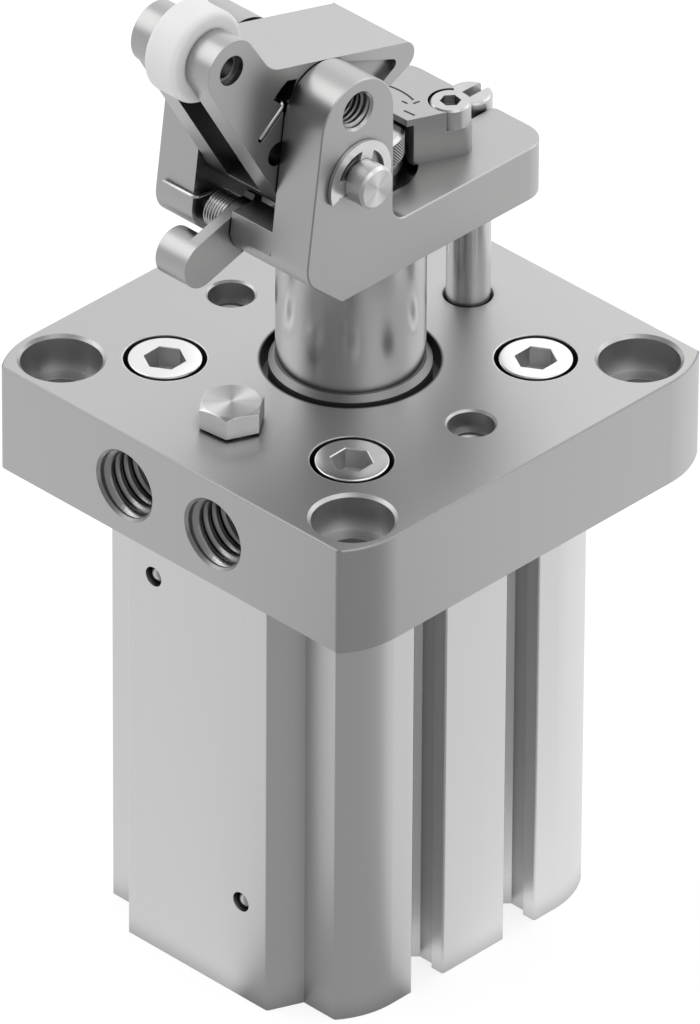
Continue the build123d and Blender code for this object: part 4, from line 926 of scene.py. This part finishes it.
def clamp_marks(material):
    """The turning arrow's arc and the short strokes cut into the clamp block, as dark strips of painted
    shade for their grooves.
    """
    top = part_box("clamp_block")[1].z
    radius, first, last = MARK_ARC
    shares = [step / MARK_STEPS for step in range(MARK_STEPS + 1)]
    paths = [[polar(radius, radians(first + (last - first) * share), 0.0) for share in shares]]
    paths += [[Vector((x * MM, y * MM, 0)) for x, y in stroke] for stroke in MARK_STROKES]
    points, faces = skins(strip(path, MARK_WIDTH, top - MARK_SINK, top + MARK_RISE) for path in paths)
    piece = mesh_piece("clamp_marks", points, faces, material, smooth=False)
    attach(piece, "head")


# World and floor

def studio_angle(shader, vector):
    """The angle of a direction round the rod from the photograph's view, positive to its right."""
    azimuth = radians(VIEW_AZIMUTH)
    along = shader.dot(vector, (sin(azimuth), -cos(azimuth), 0.0))
    across = shader.dot(vector, (cos(azimuth), sin(azimuth), 0.0))
    return shader.math("ARCTAN2", across, along)


def camera_side(shader, vector, dark):
    """Brightness of the mirrored studio in a direction, darker on the side of the camera."""
    low, high, soft, level = dark
    angle = studio_angle(shader, vector)
    left_edge = shader.smooth(angle, radians(low - soft), radians(low + soft), 1.0, level)
    right_edge = shader.smooth(angle, radians(high - soft), radians(high + soft), level, 1.0)
    return shader.math("MAXIMUM", left_edge, right_edge)


def make_world():
    """White to the camera, graded in reflections, and dimmer as a lamp."""
    world = bpy.data.worlds.new("studio")
    shader = Shader(world, "ShaderNodeOutputWorld")
    path = shader.node("ShaderNodeLightPath")
    glossy = path.outputs["Is Glossy Ray"]
    seen = shader.math("MAXIMUM", path.outputs["Is Camera Ray"], path.outputs["Is Transmission Ray"])
    direction = shader.node("ShaderNodeTexCoord").outputs["Generated"]
    mirrored = shader.times(glossy, camera_side(shader, direction, WORLD_DARK))
    strength = shader.math("MAXIMUM", seen, mirrored)
    bright = shader.node("ShaderNodeBackground", {"Color": opaque(1.0), "Strength": strength})
    lamp = shader.node("ShaderNodeBackground", {"Color": opaque(1.0), "Strength": WORLD_LIGHT})
    either = shader.math("MAXIMUM", seen, glossy)
    shader.finish(shader.blend(either, lamp.outputs[0], bright.outputs[0]))
    bpy.context.scene.world = world


def floor_mirrored(shader, glossy):
    """The floor in reflections, graded round the rod, and as it lights the object."""
    place = shader.vector("SUBTRACT", shader.place(), DARK_CENTRE)
    level = shader.times(camera_side(shader, place, FLOOR_DARK), FLOOR_MIRRORED)
    first, last, gain = FLOOR_BRIGHT
    side_gain = shader.smooth(studio_angle(shader, place), radians(first), radians(last), 1.0, gain)
    strength = shader.times(level, side_gain)
    graded = shader.node("ShaderNodeEmission", {"Color": opaque(1.0), "Strength": strength})
    plain = shader.node("ShaderNodeBsdfDiffuse", {"Color": opaque(FLOOR_COLOUR)})
    return shader.blend(glossy, plain.outputs[0], graded.outputs[0])


def floor_material():
    """White where it is seen, graded where it is mirrored, with the object's shadow on it."""
    shader = Shader(bpy.data.materials.new("floor_white"))
    path = shader.node("ShaderNodeLightPath")
    lit = shader.node("ShaderNodeBsdfDiffuse", {"Color": opaque(FLOOR_SHARE)})
    glow = shader.node("ShaderNodeEmission", {"Color": opaque(1.0), "Strength": FLOOR_GLOW})
    white = shader.node("ShaderNodeAddShader", {0: glow.outputs[0], 1: lit.outputs[0]})
    mirrored = floor_mirrored(shader, path.outputs["Is Glossy Ray"])
    seen = shader.math("MAXIMUM", path.outputs["Is Camera Ray"], path.outputs["Is Transmission Ray"])
    return shader.finish(shader.blend(seen, mirrored, white.outputs[0]))


def make_floor():
    z = cad_box[0].z
    half = FLOOR_SIZE / 2
    corners = [Vector((x, y, z)) for x, y in ((-half, -half), (half, -half), (half, half), (-half, half))]
    mesh_piece("studio_floor", corners, [(0, 1, 2, 3)], floor_material(), smooth=False)


# Lamps and camera

def view_direction(azimuth, elevation):
    """The direction from the object to a viewer, from two angles in radians."""
    return Vector((sin(azimuth) * cos(elevation), -cos(azimuth) * cos(elevation), sin(elevation)))


def soft_lamp(name, azimuth, elevation, distance, size, radiance):
    """A square soft lamp that points at the object, as bright as a white of that radiance."""
    lamp = bpy.data.lights.new(name, "AREA")
    lamp.shape = "SQUARE"
    lamp.size = size
    lamp.energy = radiance * pi * size * size
    piece = bpy.data.objects.new(name, lamp)
    piece.location = view_direction(radians(azimuth), radians(elevation)) * distance
    piece.rotation_mode = "QUATERNION"
    piece.rotation_quaternion = piece.location.to_track_quat("Z", "Y")
    piece.visible_camera = False
    bpy.context.scene.collection.objects.link(piece)


def make_lamps():
    soft_lamp("key_lamp", azimuth=-150.0, elevation=44.0, distance=1.3, size=1.1, radiance=0.85)
    soft_lamp("fill_lamp", azimuth=-14.0, elevation=58.0, distance=1.4, size=1.0, radiance=0.5)
    soft_lamp("side_lamp", azimuth=76.0, elevation=38.0, distance=1.3, size=0.9, radiance=0.8)
    soft_lamp("back_lamp", azimuth=112.0, elevation=34.0, distance=0.34, size=0.24, radiance=0.25)


def make_camera():
    """The camera where the photograph was taken from."""
    back = view_direction(radians(VIEW_AZIMUTH), radians(VIEW_ELEVATION))
    lens = bpy.data.cameras.new("photo_camera")
    lens.sensor_width = SENSOR
    lens.lens = LENS
    lens.clip_start = CLIP_START
    lens.clip_end = CLIP_END
    camera = bpy.data.objects.new("photo_camera", lens)
    camera.location = Vector(VIEW_TARGET) + back * VIEW_DISTANCE
    camera.rotation_mode = "QUATERNION"
    camera.rotation_quaternion = (-back).to_track_quat("-Z", "Y") @ Quaternion(Z_AXIS, radians(VIEW_ROLL))
    bpy.context.scene.collection.objects.link(camera)
    bpy.context.scene.camera = camera


# Finishes on the CAD nodes

def dress(material, *names):
    """Gives CAD nodes a material."""
    for name in names:
        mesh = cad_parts[name].data
        mesh.materials.clear()
        mesh.materials.append(material)


flange_satin = flange_finish()
barrel_satin = barrel_finish()
head_plated = head_finish()
lever_plated = lever_finish()
turned_z = turned_finish("turned_upright", grey(0.56), roughness=0.26, tangent=around("Z"))
turned_y = turned_finish("turned_across", grey(0.62), roughness=0.26, tangent=around("Y"))
faced_z = faced_finish("faced_upright", grey(0.68), "stop_bolt", "Z", Z_AXIS)
faced_y = faced_finish("faced_across", grey(0.74), "pivot_pin", "Y", Y_AXIS)
screw_bright = turned_finish("screw_bright", grey(0.84), roughness=0.22,
                             tangent=around_four(SCREW_REACH), anisotropy=0.4, recess_shade=0.85,
                             edge_highlight=0.5)
socket = socket_finish()
knurled = knurl_finish()
port_thread = port_finish()
latch_plated = latch_finish()
chrome = rod_finish()
wire = wire_finish("spring_wire", grey(0.66), recess_shade=0.3)
clip = wire_finish("clip_spring", grey(0.74), recess_shade=0.4)
wiper_turned = turned_finish("wiper_turned", grey(0.26), roughness=0.42, tangent=around("Z"),
                             anisotropy=0.5, recess_shade=0.0)
resin = plain_finish("roller_white", grey(0.96), roughness=0.42, grain=0.2 * MM, grain_height=6e-7,
                     subsurface=0.05)
# painted shade of the engraved grooves, as dark strips
groove_shade = plain_finish("mark_groove_shade", grey(0.05), roughness=0.6, grain=0.1 * MM,
                        grain_height=1e-6)
rubber = plain_finish("seal_black", grey(0.012), roughness=0.55, grain=0.15 * MM,
                      grain_height=2e-6)
bronze = plain_finish("bush_bronze", (0.30, 0.21, 0.10), roughness=0.45, grain=0.1 * MM,
                      grain_height=2e-6, metallic=1.0)
magnet = plain_finish("magnet_dark", (0.02, 0.02, 0.022), roughness=0.5, grain=0.1 * MM,
                      grain_height=1e-6)
band = plain_finish("band_resin", (0.09, 0.08, 0.06), roughness=0.4, grain=0.2 * MM,
                    grain_height=1e-6)

dress(flange_satin, "flange_cap")
dress(barrel_satin, "barrel", "end_cap", "piston")
dress(head_plated, "clevis_head", "clamp_block")
dress(latch_plated, "latch_finger")
dress(lever_plated, "lever")
dress(faced_z, "stop_bolt")
dress(turned_z, "guide_pin", "absorber_body", "absorber_plunger", "clamp_screw")
dress(wiper_turned, "rod_wiper")
dress(faced_y, "pivot_pin")
dress(turned_y, "roller_axle", "latch_pin", "channel_balls")
dress(chrome, "piston_rod")
dress(clip, "pin_clips", "retaining_ring")
dress(resin, "roller")
dress(rubber, "flange_seal", "end_cap_seal", "upper_bumper", "lower_bumper", "piston_seals")
dress(bronze, "rod_bush")
dress(magnet, "magnet_ring")
dress(band, "guide_band")

latch_spring(wire)
lever_spring(wire)
knurled_ring(knurled, turned_z)
threads(port_thread, flange_satin, head_plated)
flange_screws(screw_bright, socket)
clamp_marks(groove_shade)

make_world()
make_floor()
make_lamps()
make_camera()
bpy.context.scene.view_settings.view_transform = "Standard"
